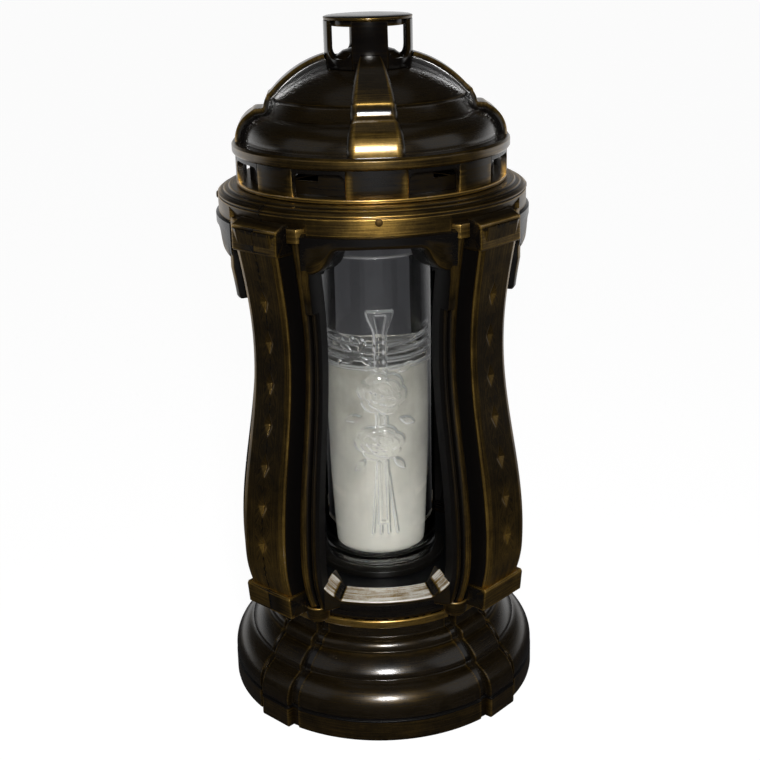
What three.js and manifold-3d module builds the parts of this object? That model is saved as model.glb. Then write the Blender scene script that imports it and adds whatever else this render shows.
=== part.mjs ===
// A vigil lamp: a moulded plinth, a four-windowed body in two half shells, a glass with a
// candle inside it, and a domed lid that lifts off. Millimetres, +Z up, the front window
// faces -Y, and the origin is at the middle of the plinth's underside.

import * as THREE from 'three';
import { mergeVertices } from 'three/addons/utils/BufferGeometryUtils.js';
import Module from 'manifold-3d';

// Plinth
const footRadius = 84.5;
const footTop = 12;
const stepRadius = 68;
const stepTop = 40.8;
const lipRadius = 62.4;
const deckTop = 58;
const lowerTube = 14.6;
const middleTube = 12.6;
const middleReach = 5.2;
const upperTube = 11.8;
const ledgeWidth = 3.7;
const deckInset = 2.2;
const plinthWall = 2.8;
const blockHalfWidth = 10;
const blockProud = 2;
const blockDepth = 8;
const channelHalfWidth = 15;
const channelDepth = 1;
const pillarRadius = 9;

// Body: every outside face of it swells and draws in with the same long wave
const bellyHeight = 103;
const bellyRadius = 88.3;
const waistHeight = 205;
const waistRadius = 76.2;
const footTuckHeight = 95;
const footTuck = 0.0065;
const bodyBottom = 68.8;
const bodyTop = 266.4;
const neckRadius = 61.3;
const neckWall = 2.6;
const wallInset = 13;
const wallThickness = 3;
const pilasterHalfWidth = 13.9;
const pilasterBevel = 2.9;
const colonnetteAngle = 30.4;
const colonnetteRadius = 2.7;
const colonnetteInset = 5.6;
const seamGap = 0.3;

// Windows
const windowHalfAngle = 25;
const windowTop = 261;
const windowShoulder = 248.5;
const shoulderHalfAngle = 19;
const windowSill = 73.6;
const frameInset = 6.5;
const frameHalfAngle = 27.4;
const hoodReach = 80.4;
const hoodBottom = 244;
const legBottom = 227.5;
const legInset = 1;
const legHalfWidth = 2;
const sillInnerRadius = 60.5;
const sillRise = 3.1;
const sillHalfAngle = 21;

// Bands, capitals and feet of the pilasters and colonnettes
const plinthBandBottom = 66.7;
const plinthBandTop = 78.8;
const plinthBandReach = 86.6;
const bandHalfWidth = 15.9;
const capitalBottom = 255.5;
const capitalTop = 266.6;
const capitalReach = 83.2;
const cupRadius = 6.4;
const cupHeight = 8;
const diamondCount = 7;
const diamondPitch = 21;
const diamondHalfWidth = 2.8;
const diamondHalfHeight = 5;
const diamondDepth = 1.1;

// Collar
const collarRadius = 78.3;
const collarTop = 279.3;
const collarBandBottom = 270;
const collarWall = 3;
const collarFloor = 1.2;
const fasciaHalfAngle = 25.7;
const hoopThickness = 1.1;
const hoopHeight = 4;
const pinRadius = 1.2;
const pinHeadRadius = 1.9;
const pinDrop = 2.7;

// Lid
const galleryRadius = 68.5;
const galleryWall = 3;
const galleryTop = 294.8;
const gallerySill = 2;
const mainPostHalfAngle = 12.3;
const cornerPostHalfAngle = 10;
const spigotDepth = 7.5;
const spigotWall = 2.2;
const baffleRadius = 61.5;
const baffleWall = 1.4;
const baffleHeight = 12.9;
const baffleNotchHeight = 6.5;
const baffleNotchHalfAngle = 19;
const rimRadius = 70;
const rimTop = 300.6;
const domeWall = 2.6;
const torusRadius = 63.9;
const neckLine = 313.2;
const neckLineRadius = 51.6;
const edgeLine = 321.2;
const edgeLineRadius = 48;
const capSweep = 70;
const capCentre = 3.7;
const chimneySeat = 334.6;
const crownTop = 344;
const ventRadius = 8;
const ribProud = 3.7;
const ribRoot = 6.2;
const ribTopWidth = 11.7;
const ribBottomWidth = 26.8;
const ribBevel = 2.6;

// Heat shield
const shieldRadius = 50;
const shieldTabReach = 59.4;
const shieldTabWidth = 10;
const shieldThickness = 0.8;
const shieldHeight = 298;
const bossRadius = 3.6;
const bossCentre = 56;
const rivetRadius = 1.5;
const rivetHeadRadius = 3;
const rivetReach = 6;

// Chimney
const chimneyRadius = 22;
const chimneyWall = 2.6;
const chimneyTop = 357.4;
const chimneySlotBottom = 339.7;
const chimneyPostHalfAngle = 23.6;
const capCrown = 2.3;
const capThickness = 1.2;
const capSpigotDepth = 3;

// Glass, its seat and the fixing under it
const glassRadius = 30.6;
const glassWall = 2.4;
const glassHeight = 172.7;
const glassFloor = 3;
const glassKick = 1.5;
const glassKickRadius = 23;
const seatRadius = 35.2;
const seatThickness = 3.4;
const floorPlateBottom = 66.3;
const floorPlateThickness = 2;
const ledgeThickness = 2.5;
const ledgeInnerRadius = 54;
const screwRadius = 2.4;
const screwHeadRadius = 4.6;
const screwHeadHeight = 3;
const nutRadius = 4.4;
const nutHeight = 2.6;

// Candle
const candleRadius = 28;
const candleHeight = 109;
const candleWall = 0.8;
const waxDrop = 2;
const wickRadius = 1.2;
const wickStickOut = 8;
const sustainerRadius = 9;
const sustainerThickness = 0.8;

// Clearances
const restGap = 0.3;
const slideGap = 0.6;
const holeGap = 0.3;

const roundSteps = 32;
const innerSteps = 24;
const smallSteps = 12;
const pegSteps = 8;
const cupSteps = 10;
const waveSteps = 7;

const wasm = await Module();
wasm.setup();

const radians = THREE.MathUtils.degToRad;
const quarterTurns = [0, 90, 180, 270];

// A closed geometry, ready to be joined or cut.
function solid(geometry) {
  const points = geometry.clone();
  for (const name of Object.keys(points.attributes)) {
    if (name !== 'position') points.deleteAttribute(name);
  }
  const merged = mergeVertices(points, 1e-4);
  const make = (triVerts) => new wasm.Manifold(new wasm.Mesh({
    numProp: 3,
    vertProperties: new Float32Array(merged.attributes.position.array),
    triVerts,
  }));
  const index = merged.index.array;
  const corners = [];
  for (let i = 0; i < index.length; i += 3) {
    const [a, b, c] = [index[i], index[i + 1], index[i + 2]];
    if (a !== b && b !== c && c !== a) corners.push(a, b, c);
  }
  const body = make(new Uint32Array(corners));
  if (body.volume() > 0) return body;
  for (let i = 0; i < corners.length; i += 3) {
    [corners[i + 1], corners[i + 2]] = [corners[i + 2], corners[i + 1]];
  }
  return make(new Uint32Array(corners));
}

function join(...bodies) {
  return bodies.reduce((whole, body) => whole.add(body));
}

function cut(body, ...tools) {
  return tools.reduce((rest, tool) => rest.subtract(tool), body);
}

// The solid that a closed outline of [radius, height] points sweeps round the Z axis.
function turned(outline, steps = roundSteps) {
  const closed = [...outline, outline[0]];
  const geometry = new THREE.LatheGeometry(closed.map(([r, z]) => new THREE.Vector2(r, z)), steps);
  geometry.rotateX(Math.PI / 2);
  return solid(geometry);
}

function tube(outer, inner, bottom, top, steps = roundSteps) {
  return turned([[inner, bottom], [outer, bottom], [outer, top], [inner, top]], steps);
}

function rod(radius, bottom, top, x = 0, y = 0, steps = smallSteps) {
  const geometry = new THREE.CylinderGeometry(radius, radius, top - bottom, steps);
  geometry.rotateX(Math.PI / 2);
  geometry.translate(x, y, (bottom + top) / 2);
  return solid(geometry);
}

function shapeOf(points) {
  return new THREE.Shape(points.map(([x, y]) => new THREE.Vector2(x, y)));
}

// A straight bar: its outline is drawn as [distance from the axis, height], and it
// reaches halfWidth to both sides of the vertical plane at the given angle.
function bar(outline, halfWidth, angle) {
  const geometry = new THREE.ExtrudeGeometry(shapeOf(outline), {
    depth: 2 * halfWidth, bevelEnabled: false,
  });
  geometry.translate(0, 0, -halfWidth);
  geometry.rotateX(Math.PI / 2);
  geometry.rotateZ(radians(angle));
  return solid(geometry);
}

// A hole's plug: its outline is drawn as [sideways, height] and runs outward from one
// radius to another in the direction of the given angle. With a radius to spread from, its
// sides are radial, and the outline is its section there.
function radialPlug(shape, from, to, angle, spreadFrom = null) {
  const geometry = new THREE.ExtrudeGeometry(shape, {
    depth: to - from, bevelEnabled: false, curveSegments: 3,
  });
  geometry.translate(0, 0, from);
  if (spreadFrom) {
    const position = geometry.attributes.position;
    for (let i = 0; i < position.count; i += 1) {
      position.setX(i, position.getX(i) * position.getZ(i) / spreadFrom);
    }
  }
  geometry.rotateX(Math.PI / 2);
  geometry.rotateZ(radians(angle) + Math.PI / 2);
  return solid(geometry);
}

// A wedge of the given half angle round the Z axis, between two heights.
function wedge(angle, halfAngle, bottom, top, reach = 2 * footRadius) {
  const [a, b] = [radians(angle - halfAngle), radians(angle + halfAngle)];
  const geometry = new THREE.ExtrudeGeometry(shapeOf([
    [0, 0], [reach * Math.cos(a), reach * Math.sin(a)], [reach * Math.cos(b), reach * Math.sin(b)],
  ]), { depth: top - bottom, bevelEnabled: false });
  geometry.translate(0, 0, bottom);
  return solid(geometry);
}

function polar(radius, angle) {
  return [radius * Math.cos(radians(angle)), radius * Math.sin(radians(angle))];
}

// Points of a round stretch about a centre, from one angle to another.
function arc(centreR, centreZ, radius, from, to, steps) {
  return Array.from({ length: steps + 1 }, (_, i) => {
    const [r, z] = polar(radius, from + (to - from) * i / steps);
    return [centreR + r, centreZ + z];
  });
}

// Heights at which the sub-assemblies stand on each other.
const boreRadius = neckRadius - neckWall;
const floorTop = floorPlateBottom + floorPlateThickness;
const seatBottom = floorTop + restGap;
const seatTop = seatBottom + seatThickness;
const glassFoot = seatTop + restGap;
const kickTop = glassFoot + glassKick;
const nutSeat = kickTop - 2 * restGap - nutHeight;
const glassFloorTop = kickTop + glassFloor;
const candleBottom = glassFloorTop + restGap;
const galleryBottom = collarTop + restGap;

const lamp = new THREE.Group();
function assembly(parent, height) {
  const group = new THREE.Group();
  group.position.z = height;
  group.userData.height = height + (parent.userData.height ?? 0);
  parent.add(group);
  return group;
}
const base = assembly(lamp, 0);
const body = assembly(base, deckTop + restGap);
const glass = assembly(lamp, glassFoot);
const candle = assembly(glass, candleBottom - glassFoot);
const lid = assembly(lamp, galleryBottom);

// Shapes are drawn at their height in the lamp, then lowered to where their group starts.
function piece(group, name, shape, color, roughness, metalness, extra = {}) {
  const mesh = shape.getMesh();
  const geometry = new THREE.BufferGeometry();
  geometry.setAttribute('position', new THREE.BufferAttribute(mesh.vertProperties, 3));
  geometry.setIndex(new THREE.BufferAttribute(mesh.triVerts, 1));
  geometry.translate(0, 0, -group.userData.height);
  geometry.computeVertexNormals();
  const material = new THREE.MeshStandardMaterial({ color, roughness, metalness, ...extra });
  const node = new THREE.Mesh(geometry, material);
  node.name = name;
  group.add(node);
  return node;
}

const bronze = 0x2b2013;
const brassy = 0x8a6a2c;
const steel = 0xb9bcc0;

// The plinth's outside from the foot up to the deck: three rounded steps and a lip.
const lowerCentre = [footRadius - lowerTube - 0.3, footTop + 3.2];
const middleCentre = [stepRadius + middleReach - middleTube, stepTop - 4.6];
const upperCentre = [stepRadius - ledgeWidth - upperTube, stepTop + 2.4];
function plinthSide(grow = 0) {
  return [
    [footRadius, 0], [footRadius - 0.9, footTop - 0.5], [footRadius - 2, footTop],
    ...arc(...lowerCentre, lowerTube, -8, 70, 3),
    ...arc(...middleCentre, middleTube, -22, 18, 2),
    [stepRadius, stepTop], [stepRadius - ledgeWidth, stepTop + 0.3],
    ...arc(...upperCentre, upperTube, -8, 46, 2),
    [lipRadius - 0.6, deckTop - 3.6], [lipRadius, deckTop - 2], [lipRadius - 0.6, deckTop - 0.6],
  ].map(([r, z]) => [r + grow, z]);
}

piece(base, 'base_plinth', (() => {
  const rounded = turned([[0, 0], ...plinthSide(), [lipRadius - deckInset, deckTop], [0, deckTop]]);
  const channels = quarterTurns.map((turn) => {
    const groove = plinthSide(-channelDepth);
    const outside = [...groove, [2 * footRadius, deckTop], [2 * footRadius, -1], [groove[0][0], -1]];
    return bar(outside, channelHalfWidth, turn + 45);
  });
  const core = lipRadius - blockDepth;
  const blocks = quarterTurns.map((turn) => bar(
    [[core, 0], ...plinthSide(blockProud), [core, deckTop - 0.6]], blockHalfWidth, turn + 45));
  const footInner = footRadius - plinthWall - blockProud / 2;
  const deckInner = lipRadius - blockDepth + 1;
  const hollow = turned([
    [0, -1], [footInner, -1], [footInner, footTop],
    ...arc(...lowerCentre, lowerTube - plinthWall, 20, 62, 1),
    [middleCentre[0] + middleTube - 2 * plinthWall - channelDepth, middleCentre[1]],
    [deckInner, deckTop - 2 * plinthWall], [deckInner - 2, deckTop - plinthWall], [0, deckTop - plinthWall],
  ]);
  const pillar = rod(pillarRadius, deckTop - plinthWall, floorPlateBottom - restGap);
  const locator = tube(boreRadius - slideGap, ledgeInnerRadius + slideGap, deckTop - 1,
    floorPlateBottom - ledgeThickness - 2 * restGap, innerSteps);
  const screwHole = rod(screwRadius + holeGap, 0, 2 * deckTop);
  return cut(join(cut(join(cut(rounded, ...channels), ...blocks), hollow), pillar, locator), screwHole);
})(), bronze, 0.28, 0.55);

// The long wave of the body: distance of a pilaster's face from the axis at a height.
const waveMiddle = (bellyRadius + waistRadius) / 2;
function waveAt(z) {
  const swing = (bellyRadius - waistRadius) / 2;
  const tuck = footTuck * Math.max(0, footTuckHeight - z) ** 2;
  return waveMiddle + swing * Math.cos(Math.PI * (z - bellyHeight) / (waistHeight - bellyHeight)) - tuck;
}

// Plan of half a bay, from beside a window's middle to a pilaster's face, as [radius, angle].
function outerHalfBay() {
  const wall = waveMiddle - wallInset;
  const frame = waveMiddle - frameInset;
  const groove = wall - 2;
  const centre = waveMiddle - colonnetteInset - colonnetteRadius;
  const colonnette = [];
  for (const spin of [-75, 0, 75]) {
    const out = centre + colonnetteRadius * Math.cos(radians(spin));
    const side = colonnetteRadius * Math.sin(radians(spin));
    colonnette.push([Math.hypot(out, side), colonnetteAngle + THREE.MathUtils.radToDeg(Math.atan2(side, out))]);
  }
  const pilaster = [
    [pilasterHalfWidth, groove], [pilasterHalfWidth, waveMiddle - 1.1],
    [pilasterHalfWidth - pilasterBevel, waveMiddle],
  ].map(([side, out]) => [Math.hypot(out, side), 45 - THREE.MathUtils.radToDeg(Math.atan2(side, out))]);
  const flank = THREE.MathUtils.radToDeg(colonnetteRadius / groove);
  return [
    [wall, 12], [wall, windowHalfAngle - 1.5], [frame, windowHalfAngle - 1.5], [frame, frameHalfAngle],
    [groove, colonnetteAngle - flank], ...colonnette, [groove, colonnetteAngle + flank],
    ...pilaster,
  ];
}

function innerHalfBay() {
  const wall = waveMiddle - wallInset - wallThickness;
  const pocket = waveMiddle - wallThickness - 0.8;
  const pocketSide = THREE.MathUtils.radToDeg(Math.asin((pilasterHalfWidth - wallThickness) / wall));
  const pocketBack = THREE.MathUtils.radToDeg(Math.asin((pilasterHalfWidth - wallThickness) / pocket));
  return [
    [wall, 15], [wall, 45 - pocketSide], [pocket, 45 - pocketBack],
  ];
}

// The whole plan from half a bay, mirrored and repeated round four windows.
function fullPlan(halfBay) {
  const points = [];
  for (const turn of quarterTurns) {
    const mirrored = halfBay.map(([r, a]) => [r, -a]).reverse();
    for (const [r, a] of [...mirrored, ...halfBay]) points.push(polar(r, a + turn - 90));
  }
  return points;
}

// A plan raised between two heights, whose sides follow the long wave.
function waved(plan, bottom, top) {
  const geometry = new THREE.ExtrudeGeometry(shapeOf(plan), {
    depth: top - bottom, steps: waveSteps, bevelEnabled: false,
  });
  geometry.translate(0, 0, bottom);
  const position = geometry.attributes.position;
  for (let i = 0; i < position.count; i += 1) {
    const [x, y, z] = [position.getX(i), position.getY(i), position.getZ(i)];
    const radius = Math.hypot(x, y);
    const stretch = (radius + waveAt(z) - waveMiddle) / radius;
    position.setXY(i, x * stretch, y * stretch);
  }
  return solid(geometry);
}

// Drawn where the window's flat wall would touch the wave's middle radius.
function windowOutline() {
  const w = waveMiddle * Math.tan(radians(windowHalfAngle));
  const shoulder = waveMiddle * Math.tan(radians(shoulderHalfAngle));
  const side = [
    [w - 8, windowSill], [w, windowSill + 9], [w, windowShoulder], [shoulder + 2.4, windowShoulder + 2.5],
    [shoulder, windowShoulder + 5.5], [shoulder - 1.6, windowTop - 3], [shoulder - 5.5, windowTop],
  ];
  const mirrored = side.map(([x, z]) => [-x, z]).reverse();
  return shapeOf([...side, ...mirrored]);
}

// A short rod that points outward at the middle height of the fasciae.
const fasciaTop = collarTop - 3.4;
const pinHeight = fasciaTop - pinDrop;
function outwardRod(radius, from, to, angle) {
  const geometry = new THREE.CylinderGeometry(radius, radius, to - from, pegSteps);
  geometry.rotateZ(-Math.PI / 2);
  geometry.translate((from + to) / 2, 0, pinHeight);
  geometry.rotateZ(radians(angle));
  return solid(geometry);
}

const bodyWhole = (() => {
  const floor = bodyBottom + ledgeThickness;
  const shell = cut(
    waved(fullPlan(outerHalfBay()), bodyBottom, bodyTop),
    waved(fullPlan(innerHalfBay()), floor, bodyTop - wallThickness),
    rod(boreRadius, bodyBottom - 1, bodyTop + 1, 0, 0, roundSteps),
  );
  const windows = quarterTurns.map((turn) => radialPlug(
    windowOutline(), ledgeInnerRadius - 10, 2 * footRadius, turn, waveMiddle));
  const hoodRing = turned([
    [boreRadius, hoodBottom], [hoodReach - 3.4, hoodBottom], [hoodReach - 1, hoodBottom + 3.5],
    [hoodReach, hoodBottom + 8], [hoodReach - 2, bodyTop - 5], [hoodReach - 2.8, bodyTop + 0.5],
    [boreRadius, bodyTop + 0.5],
  ]);
  const hoods = quarterTurns.map((turn) => hoodRing.intersect(wedge(turn, frameHalfAngle, 0, collarTop)));
  const legInner = waveAt(waistHeight) - wallInset;
  const leg = [
    [legInner, legBottom], [waveAt(legBottom) - legInset, legBottom],
    [waveAt(hoodBottom) - legInset, hoodBottom], [waveAt(hoodBottom) - legInset - 1, hoodBottom + 3],
    [legInner, hoodBottom + 3],
  ];
  const legs = quarterTurns.flatMap((turn) => [-1, 1].map((side) => bar(
    leg, legHalfWidth, turn + side * (windowHalfAngle + frameHalfAngle) / 2)));
  const ledgeTop = floorPlateBottom - restGap;
  const neck = turned([
    [boreRadius, deckTop + restGap], [neckRadius, deckTop + restGap], [neckRadius, bodyBottom + 1],
    [boreRadius, bodyBottom + 1], [boreRadius, ledgeTop], [ledgeInnerRadius, ledgeTop],
    [ledgeInnerRadius, ledgeTop - ledgeThickness], [boreRadius, ledgeTop - ledgeThickness],
  ]);
  const sillFront = waveAt(windowSill) - wallInset;
  const sillRing = turned([
    [sillInnerRadius, bodyBottom], [sillFront, bodyBottom], [sillFront, windowSill],
    [sillInnerRadius, windowSill + sillRise],
  ]);
  const collar = turned([
    [boreRadius, bodyTop], [collarRadius, bodyTop], [collarRadius, fasciaTop],
    [collarRadius - 2.8, collarTop - 1.4], [collarRadius - 5.2, collarTop - 1],
    [collarRadius - 5.9, collarTop], [boreRadius, collarTop],
  ]);
  let body = join(cut(join(shell, ...hoods, ...legs), ...windows), neck);
  body = body.add(quarterTurns.map((turn) => sillRing.intersect(wedge(turn, sillHalfAngle, 0, collarTop))).reduce((a, b) => a.add(b)));
  const bandCut = tube(collarRadius + 1, collarRadius - collarWall + 1, bodyTop - 1, collarBandBottom);
  const cornerCuts = quarterTurns.map((turn) => bandCut.intersect(
    wedge(turn + 45, 45 - fasciaHalfAngle, bodyTop - 2, collarTop)));
  body = body.add(cut(collar, ...cornerCuts));
  for (const turn of quarterTurns) {
    const band = [
      [neckRadius + 8, plinthBandBottom], [plinthBandReach - 1.3, plinthBandBottom],
      [plinthBandReach, plinthBandTop - 1], [plinthBandReach - 0.8, plinthBandTop],
      [neckRadius + 8, plinthBandTop],
    ];
    const capital = [
      [neckRadius + 8, capitalBottom], [capitalReach - 1, capitalBottom], [capitalReach, capitalBottom + 1],
      [capitalReach - 0.5, capitalTop], [collarRadius - 1, collarBandBottom + 0.6],
      [neckRadius + 8, collarBandBottom + 0.6],
    ];
    body = join(body, bar(band, bandHalfWidth, turn + 45), bar(capital, bandHalfWidth - 0.6, turn + 45));
    for (const side of [-1, 1]) {
      const angle = turn + side * colonnetteAngle;
      const foot = waveAt(bodyBottom) - colonnetteInset - cupRadius + 1.6;
      const head = waveAt(bodyTop) - colonnetteInset - cupRadius + 1.6;
      body = join(
        body,
        rod(cupRadius, bodyBottom - cupHeight, bodyBottom + 0.6, ...polar(foot, angle), cupSteps),
        rod(cupRadius, bodyTop - 4, collarBandBottom - 0.6, ...polar(head, angle), cupSteps),
      );
    }
    for (let i = 0; i < diamondCount; i += 1) {
      const height = bellyHeight + 2 + i * diamondPitch;
      const diamond = new THREE.OctahedronGeometry(1);
      diamond.scale(diamondDepth, diamondHalfWidth, diamondHalfHeight);
      diamond.translate(waveAt(height), 0, height);
      diamond.rotateZ(radians(turn + 45));
      body = body.subtract(solid(diamond));
    }
  }
  const hoopSpace = turned([
    [boreRadius - 1, bodyTop + collarFloor], [collarRadius - collarWall, bodyTop + collarFloor],
    [collarRadius - collarWall, fasciaTop - 0.2], [boreRadius - 1, collarTop - 2.5],
  ]);
  const holes = quarterTurns.map((turn) => outwardRod(pinRadius + holeGap, collarRadius - 8, 2 * footRadius, turn));
  return cut(body, hoopSpace, ...holes);
})();

// The seam runs down the middle of the left front and the right rear pilaster.
function halfSpace(side) {
  const size = 4 * footRadius;
  const geometry = new THREE.BoxGeometry(size, size, 2 * collarTop);
  geometry.translate(0, side * (size + seamGap) / 2, collarTop);
  geometry.rotateZ(radians(45));
  return solid(geometry);
}
piece(body, 'body_shell_front_right', bodyWhole.intersect(halfSpace(-1)), bronze, 0.35, 0.55);
piece(body, 'body_shell_rear_left', bodyWhole.intersect(halfSpace(1)), bronze, 0.35, 0.55);

// Inside the collar a steel hoop holds the two shells together, pinned through each fascia.
const hoopOuter = collarRadius - collarWall - restGap;
const hoopInner = hoopOuter - hoopThickness;
piece(body, 'collar_hoop', cut(
  tube(hoopOuter, hoopInner, pinHeight - hoopHeight / 2, pinHeight + hoopHeight / 2),
  ...quarterTurns.map((turn) => outwardRod(pinRadius + holeGap, hoopInner - 5, hoopOuter + 5, turn)),
), steel, 0.35, 0.9);
for (const [turn, side] of [[-90, 'front'], [0, 'right'], [90, 'rear'], [180, 'left']]) {
  const pin = piece(body, `fascia_pin_${side}`, join(
    outwardRod(pinRadius, hoopInner - 0.8, collarRadius + 0.6, 0),
    outwardRod(pinHeadRadius, collarRadius + restGap, collarRadius + restGap + 0.8, 0),
  ), brassy, 0.4, 0.9);
  pin.rotation.z = radians(turn);
}

// The floor plate lies on the ledge inside the neck and clamps the shells to the plinth.
piece(body, 'floor_plate', cut(
  rod(boreRadius - slideGap, floorPlateBottom, floorTop, 0, 0, innerSteps),
  rod(screwRadius + holeGap, 0, collarTop),
), steel, 0.45, 0.85);

piece(body, 'glass_seat', cut(
  join(
    rod(seatRadius, seatBottom, seatTop, 0, 0, innerSteps),
    rod(glassKickRadius - slideGap, seatBottom, kickTop - 2 * restGap, 0, 0, innerSteps),
  ),
  rod(nutRadius + holeGap, nutSeat - restGap, kickTop),
  rod(screwRadius + holeGap, 0, collarTop),
), 0x17140f, 0.4, 0.3);

const screwSeat = deckTop - plinthWall - restGap;
piece(body, 'tie_screw', join(
  rod(screwRadius, screwSeat - 0.5, nutSeat + nutHeight - restGap),
  rod(screwHeadRadius, screwSeat - screwHeadHeight, screwSeat),
), steel, 0.35, 0.95);
piece(body, 'tie_nut', cut(
  rod(nutRadius, nutSeat, nutSeat + nutHeight, 0, 0, 6),
  rod(screwRadius + holeGap, 0, collarTop),
), steel, 0.35, 0.95);

// The glass is a plain tumbler whose raised bottom sits over the seat's boss.
const glassInner = glassRadius - glassWall;
piece(glass, 'glass_tumbler', turned([
  [0, glassFoot + glassKick], [glassKickRadius, glassFoot + glassKick], [glassKickRadius + 1, glassFoot],
  [glassRadius - 0.8, glassFoot], [glassRadius, glassFoot + 0.8], [glassRadius, glassFoot + glassHeight - 0.6],
  [glassRadius - 0.6, glassFoot + glassHeight], [glassInner, glassFoot + glassHeight],
  [glassInner, glassFloorTop + 3], [glassInner - 3, glassFloorTop], [0, glassFloorTop],
], innerSteps), 0xffffff, 0.05, 0, { transparent: true, opacity: 0.35 });

// The candle: wax poured round a wick in a thin cup.
const cupRound = 6;
const cupInner = candleRadius - slideGap - candleWall;
const waxTop = candleBottom + candleHeight - waxDrop;
piece(candle, 'candle_cup', turned([
  [0, candleBottom], [candleRadius - slideGap - cupRound, candleBottom],
  [candleRadius - slideGap - 1.5, candleBottom + 2.2], [candleRadius - slideGap, candleBottom + cupRound],
  [candleRadius - slideGap, candleBottom + candleHeight], [cupInner, candleBottom + candleHeight],
  [cupInner, candleBottom + cupRound], [cupInner - 1.5, candleBottom + 2.8],
  [cupInner - cupRound + 0.6, candleBottom + candleWall], [0, candleBottom + candleWall],
], innerSteps), 0xf4f1e6, 0.5, 0);
const waxRadius = cupInner - restGap;
const waxBottom = candleBottom + candleWall + restGap;
piece(candle, 'candle_wax', cut(
  turned([
    [0, waxBottom], [waxRadius - cupRound, waxBottom], [waxRadius - 1.6, waxBottom + 2.4],
    [waxRadius, waxBottom + cupRound], [waxRadius, waxTop], [0, waxTop],
  ], innerSteps),
  rod(wickRadius + holeGap, candleBottom, waxTop + 1, 0, 0, pegSteps),
  rod(sustainerRadius + holeGap, candleBottom, waxBottom + sustainerThickness + holeGap),
), 0xf6f3e8, 0.55, 0);
piece(candle, 'wick_sustainer', cut(
  rod(sustainerRadius, waxBottom, waxBottom + sustainerThickness),
  rod(wickRadius + holeGap, candleBottom, waxTop, 0, 0, pegSteps),
), steel, 0.4, 0.9);
piece(candle, 'wick', rod(wickRadius, waxBottom, waxTop + wickStickOut, 0, 0, pegSteps), 0xe9e4d2, 0.9, 0);

// The lid's gallery: eight posts on a flange, with a spigot that drops into the collar.
const spigotRadius = boreRadius - slideGap;
const flangeTop = galleryBottom + gallerySill;
piece(lid, 'lid_gallery', (() => {
  const inner = galleryRadius - galleryWall;
  const wall = tube(galleryRadius, inner, galleryBottom, galleryTop);
  const flange = tube(galleryRadius, spigotRadius - spigotWall, galleryBottom, flangeTop);
  const spigot = tube(spigotRadius, spigotRadius - spigotWall, galleryBottom - spigotDepth, flangeTop);
  const from = mainPostHalfAngle;
  const to = 45 - cornerPostHalfAngle;
  const half = galleryRadius * Math.sin(radians((to - from) / 2));
  const top = galleryTop - 2;
  const round = 4;
  const opening = new THREE.Shape();
  opening.moveTo(-half, flangeTop);
  opening.lineTo(half, flangeTop);
  opening.lineTo(half, top - round);
  opening.absarc(half - round, top - round, round, 0, Math.PI / 2);
  opening.absarc(-half + round, top - round, round, Math.PI / 2, Math.PI);
  const openings = quarterTurns.flatMap((turn) => [-1, 1].map((side) => radialPlug(
    opening, inner - 6, galleryRadius + 6, turn + side * (from + to) / 2)));
  return join(cut(wall, ...openings), flange, spigot);
})(), bronze, 0.35, 0.55);

// A wind baffle stands on the flange behind the posts, notched behind the corner posts.
piece(lid, 'wind_baffle', (() => {
  const bottom = flangeTop + restGap;
  const top = bottom + baffleHeight;
  const wall = tube(baffleRadius, baffleRadius - baffleWall, bottom, top, innerSteps);
  const notches = quarterTurns.map((turn) => wedge(turn + 45, baffleNotchHalfAngle, top - baffleNotchHeight, top + 1));
  return cut(wall, ...notches);
})(), bronze, 0.45, 0.5);

// Outline of the dome from its rim up to the chimney's seat, as [radius, height]; the
// inside runs a wall's thickness behind it.
const torusTube = 11.6;
const torusCentre = torusRadius - torusTube;
const torusHeight = rimTop + 0.9;
function capArc(inset, from, to, steps) {
  const rise = Math.sqrt(capSweep ** 2 - (edgeLineRadius - capCentre) ** 2);
  return arc(capCentre, edgeLine - rise, capSweep - inset, from, to, steps);
}
function domeSide(inset) {
  return [
    ...arc(torusCentre, torusHeight, torusTube - inset, -4, 84, inset ? 2 : 4),
    [neckLineRadius - inset, neckLine - inset / 2], [edgeLineRadius - 1.6 - inset, edgeLine - 2],
    ...capArc(inset, 50.7, 75, inset ? 1 : 3),
  ];
}

// A rib's crest runs from the rim to the chimney, further from the dome the higher it is.
const ribPath = [
  ...arc(torusCentre, torusHeight, torusTube + ribProud, -10, 75, 4),
  [neckLineRadius + 1.6, neckLine + 1.7], [neckLineRadius + 0.2, neckLine + 5.7],
  [edgeLineRadius + 2.4, edgeLine + 1],
  ...arc(7.7, chimneySeat - 45.6, 54.4, 42, 75, 4),
];

// A body skinned through rings of points, each ring convex, with flat ends.
function skinned(rings) {
  const count = rings[0].length;
  const positions = rings.flat().flatMap((point) => point.toArray());
  const index = [];
  for (let i = 0; i + 1 < rings.length; i += 1) {
    for (let j = 0; j < count; j += 1) {
      const [a, b] = [i * count + j, i * count + (j + 1) % count];
      index.push(a, b, b + count, a, b + count, a + count);
    }
  }
  const last = (rings.length - 1) * count;
  for (let j = 1; j + 1 < count; j += 1) {
    index.push(0, j + 1, j, last, last + j, last + j + 1);
  }
  const geometry = new THREE.BufferGeometry();
  geometry.setAttribute('position', new THREE.Float32BufferAttribute(positions, 3));
  geometry.setIndex(index);
  return solid(geometry);
}

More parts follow.
